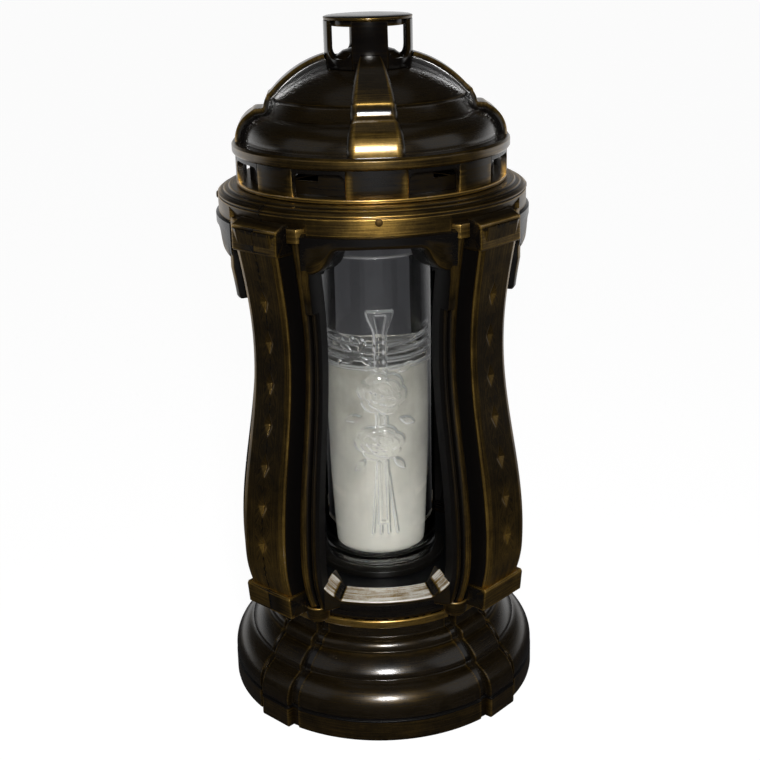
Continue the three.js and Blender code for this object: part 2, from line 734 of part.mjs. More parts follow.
function rib(angle) {
  const rings = ribPath.map(([r, z], i) => {
    const before = ribPath[Math.max(i - 1, 0)];
    const after = ribPath[Math.min(i + 1, ribPath.length - 1)];
    const along = new THREE.Vector2(after[0] - before[0], after[1] - before[1]).normalize();
    const out = new THREE.Vector2(along.y, -along.x);
    const share = (r - chimneyRadius) / (torusRadius + ribProud - chimneyRadius);
    const half = THREE.MathUtils.lerp(ribTopWidth, ribBottomWidth, share) / 2;
    const section = [
      [half - ribBevel, 0], [half, -ribBevel], [half, -ribRoot],
      [-half, -ribRoot], [-half, -ribBevel], [ribBevel - half, 0],
    ];
    return section.map(([side, depth]) => new THREE.Vector3(r + out.x * depth, side, z + out.y * depth)
      .applyAxisAngle(new THREE.Vector3(0, 0, 1), radians(angle)));
  });
  return skinned(rings);
}

const domeBottom = galleryTop + restGap;
const rimInner = torusRadius - 3.9;
const seatInner = chimneyRadius - chimneyWall - slideGap;
piece(lid, 'dome_shell', (() => {
  const outside = turned([
    [0, domeBottom], [rimRadius - 0.9, domeBottom], [rimRadius, domeBottom + 1.2],
    [rimRadius, rimTop - 1.4], [rimRadius - 0.9, rimTop], ...domeSide(0),
    [chimneyRadius + 0.6, chimneySeat], [seatInner, chimneySeat], [seatInner, chimneySeat + 4],
    [ventRadius + 5, crownTop - 1.6], [ventRadius, crownTop], [0, crownTop],
  ]);
  const inside = turned([
    [0, domeBottom - 1], [rimInner, domeBottom - 1], [rimInner, torusHeight - 0.5],
    ...domeSide(domeWall), [seatInner - domeWall, chimneySeat - domeWall],
    [ventRadius, crownTop - 3], [0, crownTop - 3],
  ]);
  const lipOuter = galleryRadius - galleryWall - restGap;
  const lip = tube(lipOuter, lipOuter - 2.2, domeBottom - 2.4, domeBottom + 1);
  const above = tube(2 * rimRadius, 0.01, rimTop, crownTop + 20);
  const outsideRing = tube(2 * rimRadius, chimneyRadius + holeGap, rimTop - 1, crownTop + 20);
  const ribs = quarterTurns.map((turn) => rib(turn).intersect(above).intersect(outsideRing));
  const bosses = quarterTurns.map((turn) => rod(
    bossRadius, shieldHeight + shieldThickness + restGap, torusHeight + 8.4,
    ...polar(bossCentre, turn + 45), pegSteps));
  const pilots = quarterTurns.map((turn) => rod(
    rivetRadius + holeGap, 0, shieldHeight + rivetReach + 0.5,
    ...polar(bossCentre, turn + 45), pegSteps));
  const shell = cut(join(outside, ...ribs), inside, rod(ventRadius, rimTop, crownTop + 1));
  return cut(join(shell, lip, ...bosses), ...pilots);
})(), bronze, 0.3, 0.55);

// A steel shield hangs under the dome by four tabs, and keeps the flame's heat off it.
piece(lid, 'heat_shield', (() => {
  const top = shieldHeight + shieldThickness;
  const disc = rod(shieldRadius, shieldHeight, top, 0, 0, innerSteps);
  const tabs = quarterTurns.map((turn) => bar(
    [[shieldRadius - 3, shieldHeight], [shieldTabReach, shieldHeight], [shieldTabReach, top],
      [shieldRadius - 3, top]], shieldTabWidth / 2, turn + 45));
  const holes = quarterTurns.map((turn) => rod(
    rivetRadius + holeGap, 0, crownTop, ...polar(bossCentre, turn + 45), pegSteps));
  return cut(join(disc, ...tabs), ...holes);
})(), steel, 0.4, 0.9);
for (const [turn, side] of [[0, 'front_right'], [90, 'rear_right'], [180, 'rear_left'], [270, 'front_left']]) {
  const head = shieldHeight - restGap;
  const rivet = piece(lid, `shield_rivet_${side}`, join(
    rod(rivetRadius, head - 0.5, shieldHeight + rivetReach, 0, 0, pegSteps),
    rod(rivetHeadRadius, head - 1.4, head, 0, 0, pegSteps),
  ), steel, 0.4, 0.9);
  const [x, y] = polar(bossCentre, turn - 45);
  rivet.position.set(x, y, 0);
}

// The chimney: a ring with four posts, and a low domed cap plugged into their tops.
const chimneyBottom = chimneySeat + restGap;
const chimneyBore = chimneyRadius - chimneyWall;
piece(lid, 'chimney_ring', (() => {
  const half = chimneyRadius * Math.sin(radians(45 - chimneyPostHalfAngle));
  const round = half * 0.7;
  const slot = new THREE.Shape();
  slot.moveTo(half, chimneyTop + 1);
  slot.lineTo(-half, chimneyTop + 1);
  slot.lineTo(-half, chimneySlotBottom + round);
  slot.absarc(round - half, chimneySlotBottom + round, round, Math.PI, 1.5 * Math.PI);
  slot.absarc(half - round, chimneySlotBottom + round, round, 1.5 * Math.PI, 2 * Math.PI);
  const slots = quarterTurns.map((turn) => radialPlug(slot, 2, chimneyRadius + 6, turn + 45));
  return cut(tube(chimneyRadius, chimneyBore, chimneyBottom, chimneyTop, innerSteps), ...slots);
})(), bronze, 0.25, 0.6);
piece(lid, 'chimney_cap', (() => {
  const bottom = chimneyTop + restGap;
  const spigot = chimneyBore - holeGap;
  return turned([
    [0, bottom], [spigot - 1.8, bottom], [spigot - 1.8, bottom - capSpigotDepth],
    [spigot, bottom - capSpigotDepth], [spigot, bottom], [chimneyRadius, bottom],
    [chimneyRadius, bottom + capThickness], [chimneyRadius * 0.6, bottom + 0.85 * capCrown],
    [0, bottom + capCrown],
  ], innerSteps);
})(), bronze, 0.25, 0.6);

export default lamp;
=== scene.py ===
# %% [markdown]
# # A vigil lamp, dressed
# The lamp is moulded in black plastic and rubbed with gold paint, so that its raised edges
# shine and its hollows stay dark. The solids come from the CAD frame. Each one that shows is
# replaced here by a finer surface, worked out as arrays of points, that stays in its place.

import bmesh
import bpy
import numpy as np
from mathutils import Matrix


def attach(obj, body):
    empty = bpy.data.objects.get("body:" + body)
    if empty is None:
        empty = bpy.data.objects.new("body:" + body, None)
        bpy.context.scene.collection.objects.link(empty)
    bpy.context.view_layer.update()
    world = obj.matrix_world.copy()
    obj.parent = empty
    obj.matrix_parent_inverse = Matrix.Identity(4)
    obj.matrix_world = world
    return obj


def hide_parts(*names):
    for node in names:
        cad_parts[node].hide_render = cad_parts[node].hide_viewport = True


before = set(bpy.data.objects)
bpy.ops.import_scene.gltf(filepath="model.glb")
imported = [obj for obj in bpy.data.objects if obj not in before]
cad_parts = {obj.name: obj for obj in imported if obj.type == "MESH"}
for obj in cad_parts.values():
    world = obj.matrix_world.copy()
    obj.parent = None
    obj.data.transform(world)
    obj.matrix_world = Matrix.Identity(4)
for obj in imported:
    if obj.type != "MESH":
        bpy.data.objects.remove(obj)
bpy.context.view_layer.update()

# %% [markdown]
# ## From arrays to a mesh
# A surface here is a grid: rows run one way, columns the other, and the grid's faces are
# quads between neighbours. Several grids make one piece. Their shared borders are merged,
# so that the piece is closed, and its faces are turned outward. Two things ride along with
# every point: how much gold the rubbing left there, with painted highlight and shade in it on
# the sill and the glass, and where it lies in millimetres along and across the stroke of the brush.

# %% Grids
MM = 0.001
MERGE = 0.02 * MM


def grid(points, gild=0.0, rows_closed=False, cols_closed=False, across=False):
    """One sheet. Wipe coordinates are the mean distance along columns and along rows."""
    points = np.asarray(points, float)
    gild = np.broadcast_to(np.asarray(gild, float), points.shape[:2]).copy()

    def run(axis):
        step = np.linalg.norm(np.diff(points, axis=axis), axis=2).mean(axis=1 - axis)
        return np.concatenate([[0.0], np.cumsum(step)])

    u, v = np.meshgrid(run(1), run(0))
    wipe = np.stack([v, u] if across else [u, v], -1)
    return dict(points=points, gild=gild, wipe=wipe, rows=rows_closed, cols=cols_closed)


def faces_of(sheet, first):
    """Corner numbers of every quad between neighbouring rows and columns."""
    m, n = sheet["points"].shape[:2]
    rows = np.arange(m if sheet["rows"] else m - 1)
    cols = np.arange(n if sheet["cols"] else n - 1)
    i, j = np.meshgrid(rows, cols, indexing="ij")
    k, l = (i + 1) % m, (j + 1) % n
    return np.stack([i * n + j, i * n + l, k * n + l, k * n + j], -1).reshape(-1, 4) + first


def changed(sheets, change):
    """The same sheets with another function of their points."""
    return [dict(sheet, points=change(sheet["points"])) for sheet in sheets]


def spun(sheets, angle):
    """The same sheets turned about the Z axis."""
    c, s = np.cos(np.radians(angle)), np.sin(np.radians(angle))
    return changed(sheets, lambda points: points @ np.array([[c, s, 0], [-s, c, 0], [0, 0, 1]]))


def flipped(sheets):
    """The same sheets mirrored left to right."""
    return changed(sheets, lambda points: points * [1, -1, 1])


def moved(sheets, place):
    """The same sheets carried to a place."""
    return changed(sheets, lambda points: points + np.array(place))


def build(name, sheets, body, nodes, material, crease=38):
    """Joins the sheets into one piece that rides on a body and replaces CAD nodes."""
    starts = np.cumsum([0] + [sheet["gild"].size for sheet in sheets])
    points = np.concatenate([sheet["points"].reshape(-1, 3) for sheet in sheets]) * MM
    quads = np.concatenate([faces_of(s, f) for s, f in zip(sheets, starts)])
    mesh = bpy.data.meshes.new(name)
    mesh.from_pydata(points, [], quads.tolist())
    gold = np.concatenate([sheet["gild"].ravel() for sheet in sheets]).astype(np.float32)
    mesh.attributes.new("gild", "FLOAT", "POINT").data.foreach_set("value", gold)
    wipe = np.concatenate([sheet["wipe"].reshape(-1, 2) for sheet in sheets]) * MM
    corner = np.empty(len(mesh.loops), np.int32)
    mesh.loops.foreach_get("vertex_index", corner)
    layer = mesh.uv_layers.new(name="wipe")
    layer.data.foreach_set("uv", wipe[corner].astype(np.float32).ravel())
    work = bmesh.new()
    work.from_mesh(mesh)
    bmesh.ops.remove_doubles(work, verts=work.verts, dist=MERGE)
    bmesh.ops.dissolve_degenerate(work, edges=work.edges, dist=MERGE / 4)
    bmesh.ops.recalc_face_normals(work, faces=work.faces)
    open_edges = sum(len(e.link_faces) == 1 for e in work.edges)
    work.to_mesh(mesh)
    work.free()
    mesh.shade_smooth()
    mesh.set_sharp_from_angle(angle=np.radians(crease))
    mesh.materials.append(material)
    piece = bpy.data.objects.new(name, mesh)
    bpy.context.scene.collection.objects.link(piece)
    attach(piece, body)
    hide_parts(*nodes)
    triangles = sum(len(p.vertices) - 2 for p in mesh.polygons)
    print(f"{name}: {triangles} triangles, {open_edges} open edges")


# %% [markdown]
# ## Rounded outlines
# Moulded plastic has no knife edges: every corner has a small radius, and the light draws a
# line along it. An outline is given by its sharp corners, and each is replaced by a short
# arc. Outward corners are also where a rubbing cloth leaves its gold.

# %% Outlines
def rounded(outline, radius=0.5, steps=3, reach=1.2, closed=True, inside=1, same=False):
    """Each corner becomes a quadratic arc, with a plain point at both sides of it. Returns the
    points and a number that is 1 on outward corners, -1 on inward ones, 0 elsewhere. With
    same, every corner gives the same number of points, so that outlines can be joined."""
    points = np.asarray(outline, float)
    n = len(points)
    x, y = points.T
    area = 0.5 * np.sum(x * np.roll(y, -1) - np.roll(x, -1) * y)
    hand = np.sign(area) if closed else inside
    out = [] if closed else [(points[0], 0.0)]
    for i in range(n) if closed else range(1, n - 1):
        a, b, c = points[i - 1], points[i], points[(i + 1) % n]
        la, lc = np.linalg.norm(a - b), np.linalg.norm(c - b)
        u, w = (a - b) / la, (c - b) / lc
        turn = np.pi - np.arccos(np.clip(u @ w, -1, 1))
        side = np.sign(w[1] * -u[0] - w[0] * -u[1]) * hand
        if turn < np.radians(16) and not same:
            out.append((b, 0.0))
            continue
        arc_in = min(radius * np.tan(turn / 2), 0.42 * la, 0.42 * lc)
        far_a, far_c = min(arc_in + reach, 0.48 * la), min(arc_in + reach, 0.48 * lc)
        strength = side * min(1.0, turn / np.radians(60))
        if same or far_a > arc_in + 0.05:
            out.append((b + u * far_a, 0.0))
        for t in np.linspace(0, 1, steps + 1):
            bend = (1 - t) ** 2 * (b + u * arc_in) + 2 * t * (1 - t) * b + t * t * (b + w * arc_in)
            out.append((bend, strength))
        if same or far_c > arc_in + 0.05:
            out.append((b + w * far_c, 0.0))
    if not closed:
        out.append((points[-1], 0.0))
    return np.array([p for p, _ in out]), np.array([e for _, e in out])


def arc(centre_r, centre_z, radius, start, stop, steps):
    """Points of a circle about a centre, from one angle to another, in degrees."""
    angle = np.radians(np.linspace(start, stop, steps + 1))
    return np.stack([centre_r + radius * np.cos(angle), centre_z + radius * np.sin(angle)], -1)


def smooth(value, low, high):
    """0 below low, 1 above high, and an S between them."""
    t = np.clip((np.asarray(value, float) - low) / (high - low), 0, 1)
    return t * t * (3 - 2 * t)


def peak(value, centre, width):
    """A bell curve: 1 at the centre, and nearly 0 two widths away from it."""
    return np.exp(-((value - centre) / width) ** 2)


def around(radius, bearing, height):
    """Points (r cos a, r sin a, z). The three arrays are spread to one shape."""
    r, a, z = np.broadcast_arrays(radius, bearing, height)
    return np.stack([r * np.cos(a), r * np.sin(a), z], -1)


def lathe(outline, edge=0.0, base=0.0, gain=0.8, steps=180, start=0.0, stop=360.0):
    """An outline of (radius, height) swept about the Z axis, from one bearing to another."""
    whole = stop - start >= 360
    count = max(3, int(steps * (stop - start) / 360))
    angle = np.radians(start + (stop - start) * np.arange(count + (not whole)) / count)
    r, z = np.asarray(outline).T[..., None]
    gild = np.clip(np.broadcast_to(base, len(r)) + gain * np.asarray(edge), 0, 1.2)
    return grid(around(r, angle, z), gild[:, None], rows_closed=True, cols_closed=whole)


def box(low_r, high_r, low, high):
    """A rectangular outline from two radii and two heights."""
    return [[low_r, low], [high_r, low], [high_r, high], [low_r, high]]


def fan(ring, gild=0.0):
    """A closed ring of points joined to its middle."""
    return grid(np.stack([ring, np.repeat(ring.mean(axis=0)[None], len(ring), 0)]), gild, cols_closed=True)


def capped(sheet):
    """A tube of closed rows, with a fan over both ends of its columns."""
    return [sheet, fan(sheet["points"][:, 0]), fan(sheet["points"][:, -1])]


def from_axis(bearings):
    """How far bearings lie from the nearest window's or pair of posts' middle."""
    return np.abs((bearings + 45) % 90 - 45)


def four_times(quarter):
    """The bearings of one quarter, repeated all the way round."""
    return np.concatenate([quarter + turn for turn in (0, 90, 180, 270)])


def spread(start, stop, count, extra):
    """Even bearings with extra ones among them, where a shape needs them."""
    return np.unique(np.round(np.concatenate([np.linspace(start, stop, count), extra]), 3))


print("outline helpers ready")

# %% [markdown]
# ## Two sheets and a rim
# A moulded wall has an outer and an inner skin. Both are grids with the same numbers of
# rows and columns, and narrow strips join them round the border.

# %% Walls
HOLLOW = -0.3


def wall(outer, inner, outer_gild=0.0, rims="nsew", across=False):
    """Outer and inner grids with strips between their matching borders."""
    sheets = [grid(outer, outer_gild, across=across), grid(inner, HOLLOW, across=across)]
    border = {"n": np.s_[-1], "s": np.s_[0], "e": np.s_[:, -1], "w": np.s_[:, 0]}
    return sheets + [grid(np.stack([outer[border[side]], inner[border[side]]])) for side in rims]


def resampled(line, count):
    """The same polyline with points at even distances along it."""
    line = np.asarray(line, float)
    run = np.concatenate([[0], np.cumsum(np.linalg.norm(np.diff(line, axis=0), axis=1))])
    at = np.linspace(0, run[-1], count)
    return np.stack([np.interp(at, run, column) for column in line.T], -1)


# %% [markdown]
# ## Finishes
# One function adds a node with its settings and links, and one turns a hex colour to the
# linear values that shaders take. The plastic is black ABS, moulded and lacquered. The gold
# is a bronze powder paint wiped over it with a dry brush: it sticks where the piece's own
# gild value is high, and breaks up into streaks along the stroke.

# %% Materials
def linear(code):
    """An sRGB hex colour as linear red, green, blue and full alpha."""
    values = [int(code[k:k + 2], 16) / 255 for k in (0, 2, 4)]
    return [v / 12.92 if v <= 0.04045 else ((v + 0.055) / 1.055) ** 2.4 for v in values] + [1.0]


def link(tree, target, links):
    """Links outputs to a node's inputs. A node stands for its first output."""
    for key, source in links.items():
        tree.links.new(source.outputs[0] if hasattr(source, "outputs") else source, target.inputs[key])


def node(tree, kind, settings=None, inputs=None, links=None):
    """Adds a node, sets its properties and input values, and links outputs to its inputs."""
    made = tree.nodes.new("ShaderNode" + kind)
    for key, value in (settings or {}).items():
        setattr(made, key, value)
    for key, value in (inputs or {}).items():
        made.inputs[key].default_value = value
    link(tree, made, links or {})
    return made


def emptied(owner):
    """The node tree of a material or a world, with nothing in it."""
    owner.use_nodes = True
    owner.node_tree.nodes.clear()
    return owner.node_tree


def new_material(name):
    """An empty material with its shader and output already joined."""
    material = bpy.data.materials.new(name)
    tree = emptied(material)
    shader = node(tree, "BsdfPrincipled")
    node(tree, "OutputMaterial", links={"Surface": shader})
    return material, tree, shader


def per_metre(millimetres):
    """The noise scale whose features are about this far apart on Object coordinates."""
    return 1000.0 / millimetres


COLOUR, MULTIPLY_ADD = {"data_type": "RGBA"}, {"operation": "MULTIPLY_ADD"}
RESULT = 2
STREAK_SCALE = (45, 1500, 1)


def gilded(name, gloss, coat):
    """Lacquered plastic, dry-brushed with gold paint by the gild attribute: a brown haze where
    gild is low, streaks and patches where it is middling, and a full coat near 1. Above 1 the
    paint turns pale as a painted highlight, and below 0 the hollow is matt. The streaks are 0.7
    mm wide and 22 mm long: real ones are finer, but they have to show in the render."""
    material, tree, shader = new_material(name)
    gild = node(tree, "Attribute", {"attribute_name": "gild"}).outputs["Fac"]
    wipe = node(tree, "UVMap", {"uv_map": "wipe"})
    place = node(tree, "TexCoord").outputs["Object"]
    stroke = node(tree, "Mapping", inputs={"Scale": STREAK_SCALE}, links={"Vector": wipe})
    streak = node(tree, "TexNoise", {"noise_dimensions": "2D"},
                  {"Scale": 1.0, "Detail": 4.0, "Roughness": 0.6}, {"Vector": stroke})
    blotch = node(tree, "TexNoise", inputs={"Scale": per_metre(11), "Detail": 4.0, "Roughness": 0.6},
                  links={"Vector": place})
    speck = node(tree, "TexNoise", inputs={"Scale": per_metre(0.8), "Detail": 2.0}, links={"Vector": place})
    lines = node(tree, "Math", MULTIPLY_ADD, {1: 1.1, 2: -1.12}, {0: streak})
    patches = node(tree, "Math", MULTIPLY_ADD, {1: 0.8}, {0: blotch, 2: lines})
    uneven = node(tree, "Math", MULTIPLY_ADD, {1: 0.35}, {0: speck, 2: patches})
    loose = node(tree, "Math", MULTIPLY_ADD, {1: 0.7, 2: 0.2}, {0: gild})
    held = node(tree, "Math", MULTIPLY_ADD, links={0: uneven, 1: loose, 2: gild})
    kept = node(tree, "Clamp", links={"Value": held})
    amount = node(tree, "Math", {"operation": "POWER"}, {1: 2.3}, {0: kept})
    # Past a gild of 1.1 the colour turns pale: a painted highlight, as on the sill's bevel.
    painted_highlight = node(tree, "MapRange", inputs={"From Min": 1.1, "From Max": 1.5}, links={"Value": held})
    painted = node(tree, "Mix", COLOUR, {6: linear("090706"), 7: linear("c49c4a")}, {0: amount}).outputs[RESULT]
    colour = node(tree, "Mix", COLOUR, {7: linear("fdf8ec")}, {0: painted_highlight, 6: painted}).outputs[RESULT]
    matt = node(tree, "MapRange", inputs={"From Min": HOLLOW, "From Max": 0.0, "To Min": 0.5, "To Max": gloss},
                links={"Value": gild})
    rough = node(tree, "MapRange", inputs={"From Max": 0.06, "To Max": 0.38},
                 links={"Value": amount, "To Min": matt})
    full = node(tree, "MapRange", inputs={"From Max": 0.06, "To Max": 0.95}, links={"Value": amount})
    metal = node(tree, "Math", MULTIPLY_ADD, {1: -0.55}, {0: painted_highlight, 2: full})
    film = node(tree, "MapRange", inputs={"From Min": -0.2, "From Max": 0.05, "To Max": coat},
                links={"Value": gild})
    height = node(tree, "Math", MULTIPLY_ADD, {1: 0.35}, {0: speck, 2: streak})
    ridges = node(tree, "Bump", inputs={"Strength": 0.25, "Distance": 0.03 * MM}, links={"Height": height})
    link(tree, shader, {"Base Color": colour, "Roughness": rough, "Metallic": metal, "Normal": ridges,
                        "Coat Weight": film})
    for key, value in {"Coat Roughness": gloss, "Coat IOR": 1.7, "Specular IOR Level": 0.25}.items():
        shader.inputs[key].default_value = value
    return material


def plain(name, colour, second, roughness, vary, metal=0.0, size=2.0, bump=0.02, scatter=0.0):
    """A finish whose colour, roughness and surface wander between two values with a noise of a
    size in millimetres. Scatter is how far light travels under the surface, in metres."""
    material, tree, shader = new_material(name)
    place = node(tree, "TexCoord").outputs["Object"]
    noise = node(tree, "TexNoise", inputs={"Scale": per_metre(size), "Detail": 5.0, "Roughness": 0.6},
                 links={"Vector": place})
    mix = node(tree, "Mix", COLOUR, {6: linear(colour), 7: linear(second)}, {"Factor": noise})
    rough = node(tree, "MapRange", inputs={"To Min": roughness - vary, "To Max": roughness + vary},
                 links={"Value": noise})
    relief = node(tree, "Bump", inputs={"Strength": 0.3, "Distance": bump * MM}, links={"Height": noise})
    link(tree, shader, {"Base Color": mix.outputs[RESULT], "Roughness": rough, "Normal": relief})
    shader.inputs["Metallic"].default_value = metal
    if scatter:
        for key, value in (("Weight", 0.3), ("Scale", scatter), ("Radius", (1.0, 0.9, 0.8))):
            shader.inputs["Subsurface " + key].default_value = value
    return material


# Lacquered ABS: a soft gloss on the body, a deeper one on the plinth and the dome, and a
# chimney that hands have polished.
bronze = gilded("lacquered_abs_gold_rubbed", gloss=0.27, coat=0.4)
glossy = gilded("lacquered_abs_glossy", gloss=0.21, coat=0.75)
polished = gilded("lacquered_abs_polished", gloss=0.14, coat=0.5)
# Zinc plate is a pale crystalline skin on steel, and black passivation leaves it dull.
zinc = plain("zinc_plated_steel", "9fa3a6", "c3c6c8", 0.34, 0.08, metal=1.0, size=1.4, bump=0.01)
dark_zinc = plain("zinc_black_passivated", "101113", "1b1c1e", 0.42, 0.08, metal=0.5, size=1.4, bump=0.01)
# Brass that went dark under the lacquer, and a seat moulded with a fine satin grain.
brass = plain("brass_pin_darkened", "3a2a14", "6d5222", 0.42, 0.1, metal=0.8, size=0.8)
black = plain("black_polypropylene", "0c0b0a", "15130f", 0.3, 0.06, size=0.6)
print("materials", [m.name for m in (bronze, glossy, polished, zinc, dark_zinc, brass, black)])

# %% [markdown]
# ## The plinth
# The foot is one turned moulding of three rolls, with four flat blocks set across it on the
# diagonals. A narrow channel runs down both sides of each block. The surface is a product
# of a plan and a profile: the profile gives a radius at each height, and the plan says how
# far a point at each place round the lamp stands off that radius.

# %% Plinth
FOOT_R, FOOT_TOP, STEP_TOP, NECK_R = 84.5, 12.0, 40.8, 60.0
LIP_R, LIP_Z, DECK = 62.4, 53.3, 58.0
BLOCK_HALF, BLOCK_PROUD, CHANNEL_OUT, CHANNEL_DEPTH = 10.0, 2.0, 14.4, 1.1
DIAGONALS = (45, 135, 225, 315)


def plinth_profile():
    """Foot band, three rolls with fine creases between them, a neck, and a banded lip."""
    foot = [[FOOT_R - 0.2, 0.0], [FOOT_R, 1.0], [FOOT_R - 0.1, FOOT_TOP - 0.5], [FOOT_R - 1.0, FOOT_TOP - 0.1]]
    lower = arc(FOOT_R - 14.9, FOOT_TOP + 3.2, 14.6, -10, 68, 18)
    nose = arc(70.0, 30.9, 4.0, -18, 33, 6)
    middle = arc(53.3, 20.0, 24.0, 37, 57, 6)
    upper = arc(60.1, STEP_TOP + 0.9, 5.0, -8, 84, 12)
    neck = [[NECK_R, 47.2], [NECK_R, 52.6], [60.4, 53.1], [LIP_R - 0.4, LIP_Z], [LIP_R, 54.0]]
    bead = arc(LIP_R - 1.3, DECK - 1.3, 1.3, 0, 78, 6)
    outline = np.concatenate([foot, lower, nose, middle, upper, neck, bead])
    return rounded(outline, radius=0.35, steps=2, reach=0.8, closed=False)


def plinth_plan():
    """Half a plan from a block's middle outward. Each row is the sideways place, 1 where the
    face is flat and 0 where it is turned, how far it stands out, and its gold."""
    block = [(s, 1, BLOCK_PROUD, 0.0) for s in np.linspace(0, BLOCK_HALF - 1.4, 7)]
    arris = [(BLOCK_HALF - 0.5, 1, BLOCK_PROUD, 0.75), (BLOCK_HALF - 0.12, 1, BLOCK_PROUD - 0.12, 1.0),
             (BLOCK_HALF, 1, BLOCK_PROUD - 0.5, 0.5)]
    channel = [(s, 0, -CHANNEL_DEPTH, gold) for s, gold in (
        (BLOCK_HALF + 0.15, HOLLOW), (BLOCK_HALF + 1.2, HOLLOW),
        (CHANNEL_OUT - 1.0, HOLLOW), (CHANNEL_OUT - 0.15, 0.0))]
    far = [(CHANNEL_OUT + 0.05, 0, 0.0, 0.75), (CHANNEL_OUT + 0.5, 0, 0.0, 0.7), (CHANNEL_OUT + 1.6, 0, 0.0, 0.1)]
    return np.array(block + arris + channel + far).T


def plinth_quarter():
    """The profile carried round a quarter of the plan, with a block in its middle."""
    profile, edge = plinth_profile()
    side, flat, stand, gold = plinth_plan()
    r, z = profile.T[..., None]
    out = np.where(flat, r, np.sqrt(np.maximum(r ** 2 - side ** 2, 1))) + stand
    place, reach = np.arctan2(np.broadcast_to(side, out.shape), out), np.hypot(out, side)
    last = place[:, -1:]
    rest = last + (np.pi / 4 - last) * np.linspace(0, 1, 27)[1:]
    place = np.concatenate([place, rest], 1)
    reach = np.concatenate([reach, np.repeat(r, rest.shape[1], 1)], 1)
    gold = np.concatenate([gold, np.zeros(rest.shape[1])])
    place = np.concatenate([-place[:, :0:-1], place], 1)
    reach = np.concatenate([reach[:, :0:-1], reach], 1)
    gold = np.concatenate([gold[:0:-1], gold])
    height = profile[:, 1]
    along = 0.25 + 0.25 * (height < FOOT_TOP - 0.2) + 0.66 * smooth(height, LIP_Z - 0.3, LIP_Z + 0.5)
    along += 0.25 * peak(height, 40.0, 0.5) - 0.08 * smooth(height, 29, 30) * (height < 39)
    along += 0.2 * np.clip(edge, 0, 1) * (height > 50)
    along[np.abs(height - FOOT_TOP) < 0.75] = -0.2
    wiped = np.clip(along[:, None] + gold[None] * 0.4, HOLLOW, 1.1)
    return [grid(around(reach, place, z), wiped)]


def turned_between(first, last, outline, gild):
    """An outline swept about the Z axis between two uneven rings of points. The bearings of
    its columns drift from those of the first ring to even ones, and on to those of the last."""
    start, stop = (np.unwrap(np.arctan2(ring[:, 1], ring[:, 0])) for ring in (first, last))
    drift = np.linspace(0, 1, len(outline))[:, None]
    even = np.linspace(start[0], start[-1], len(start))
    share = np.clip(3 * (1 - np.abs(2 * drift - 1)), 0, 1)
    bearing = (start * (1 - drift) + stop * drift) * (1 - share) + even * share
    r, z = outline.T[..., None]
    return grid(np.concatenate([first[None], around(r, bearing, z), last[None]]), gild)


# The underside as an outline: the deck with its rim and boss, then the hollow down to the foot.
UNDER = rounded([
    [LIP_R - 2.2, DECK], [58.1, DECK], [58.1, 63.2], [54.6, 63.2], [54.6, DECK], [9.0, DECK],
    [9.0, 66.0], [2.7, 66.0], [2.7, DECK - 2.8], [53.4, DECK - 2.8], [55.4, DECK - 5.6],
    [57.0, 40.0], [66.6, 31.0], [74.0, 26.0], [80.7, 12.0], [80.7, 0.0],
], radius=0.6, closed=False)[0]
quarter = plinth_quarter()
plinth = [sheet for angle in DIAGONALS for sheet in spun(quarter, angle)]
rim_plan = np.concatenate([sheet["points"] for sheet in plinth], 1)
plinth.append(turned_between(rim_plan[-1], rim_plan[0], UNDER, 0.05))
build("plinth", plinth, "lamp_body", ["base_plinth"], glossy)

# %% [markdown]
# ## The body's long wave
# Seen from the side, the body swells low down and draws in at the waist. Every outside face
# follows the same wave, so a plan drawn once, at the wave's middle radius, is moved in or
# out along its own bearings at each height.

# %% Wave
BODY_BOTTOM, BODY_TOP = 68.8, 266.4
BELLY_Z, BELLY_R, WAIST_Z, WAIST_R = 103.0, 88.3, 205.0, 76.2
MID = (BELLY_R + WAIST_R) / 2
BORE = 58.7
SEAM = 0.15


def wave(z):
    """Half a cosine between the belly and the waist, tucked in with a square near the foot."""
    z = np.asarray(z, float)
    swing = (BELLY_R - WAIST_R) / 2 * np.cos(np.pi * (z - BELLY_Z) / (WAIST_Z - BELLY_Z))
    return MID + swing - 0.0065 * np.maximum(0, 95 - z) ** 2


def polar(radius, bearing):
    """A plan point from its radius and its bearing in degrees."""
    return np.array([radius * np.cos(np.radians(bearing)), radius * np.sin(np.radians(bearing))])


def waved(plan, z):
    """Plan points (x, y) at given heights, moved along their bearings by the wave."""
    plan = np.asarray(plan, float)
    x, y = plan[..., 0], plan[..., 1]
    return around(np.hypot(x, y) + (wave(z) - MID), np.arctan2(y, x), z)


def from_pilaster(side, out):
    """A plan point beside the middle of the pilaster that stands at 45 degrees."""
    diagonal = np.array([np.cos(np.pi / 4), np.sin(np.pi / 4)])
    toward_window = np.array([diagonal[1], -diagonal[0]])
    return np.asarray(out)[..., None] * diagonal + np.asarray(side)[..., None] * toward_window


def set_out(out, side, bearing, z):
    """Points at a distance out along a bearing in degrees, and to the side of it."""
    c, s = np.cos(np.radians(bearing)), np.sin(np.radians(bearing))
    return np.stack(np.broadcast_arrays(out * c - side * s, out * s + side * c, z), -1)


print("radius at the belly", float(wave(BELLY_Z)), "at the waist", float(wave(WAIST_Z)))

# %% [markdown]
# ## One stile of the body
# Between a window and the middle of a corner pilaster the plan runs over the window's frame,
# a groove, a slim round colonnette and the pilaster with its soft edges. The wall behind is
# thin and follows at a distance.

# %% Stile
FACE_HALF, PILASTER_HALF, STRIP = 11.0, 13.9, 5.0
TILE, TILES, FIRST_TILE = 21.0, 7, 94.5
TILE_ROWS, STRIP_COLS, END_ROWS = 12, 5, 15
GEM_HALF_WIDTH, GEM_HALF_HEIGHT, GEM_DEPTH = 3.2, 6.2, 1.6
SHAFT_AT, SHAFT_R = 30.4, 2.7
FACE_GOLD = 0.47


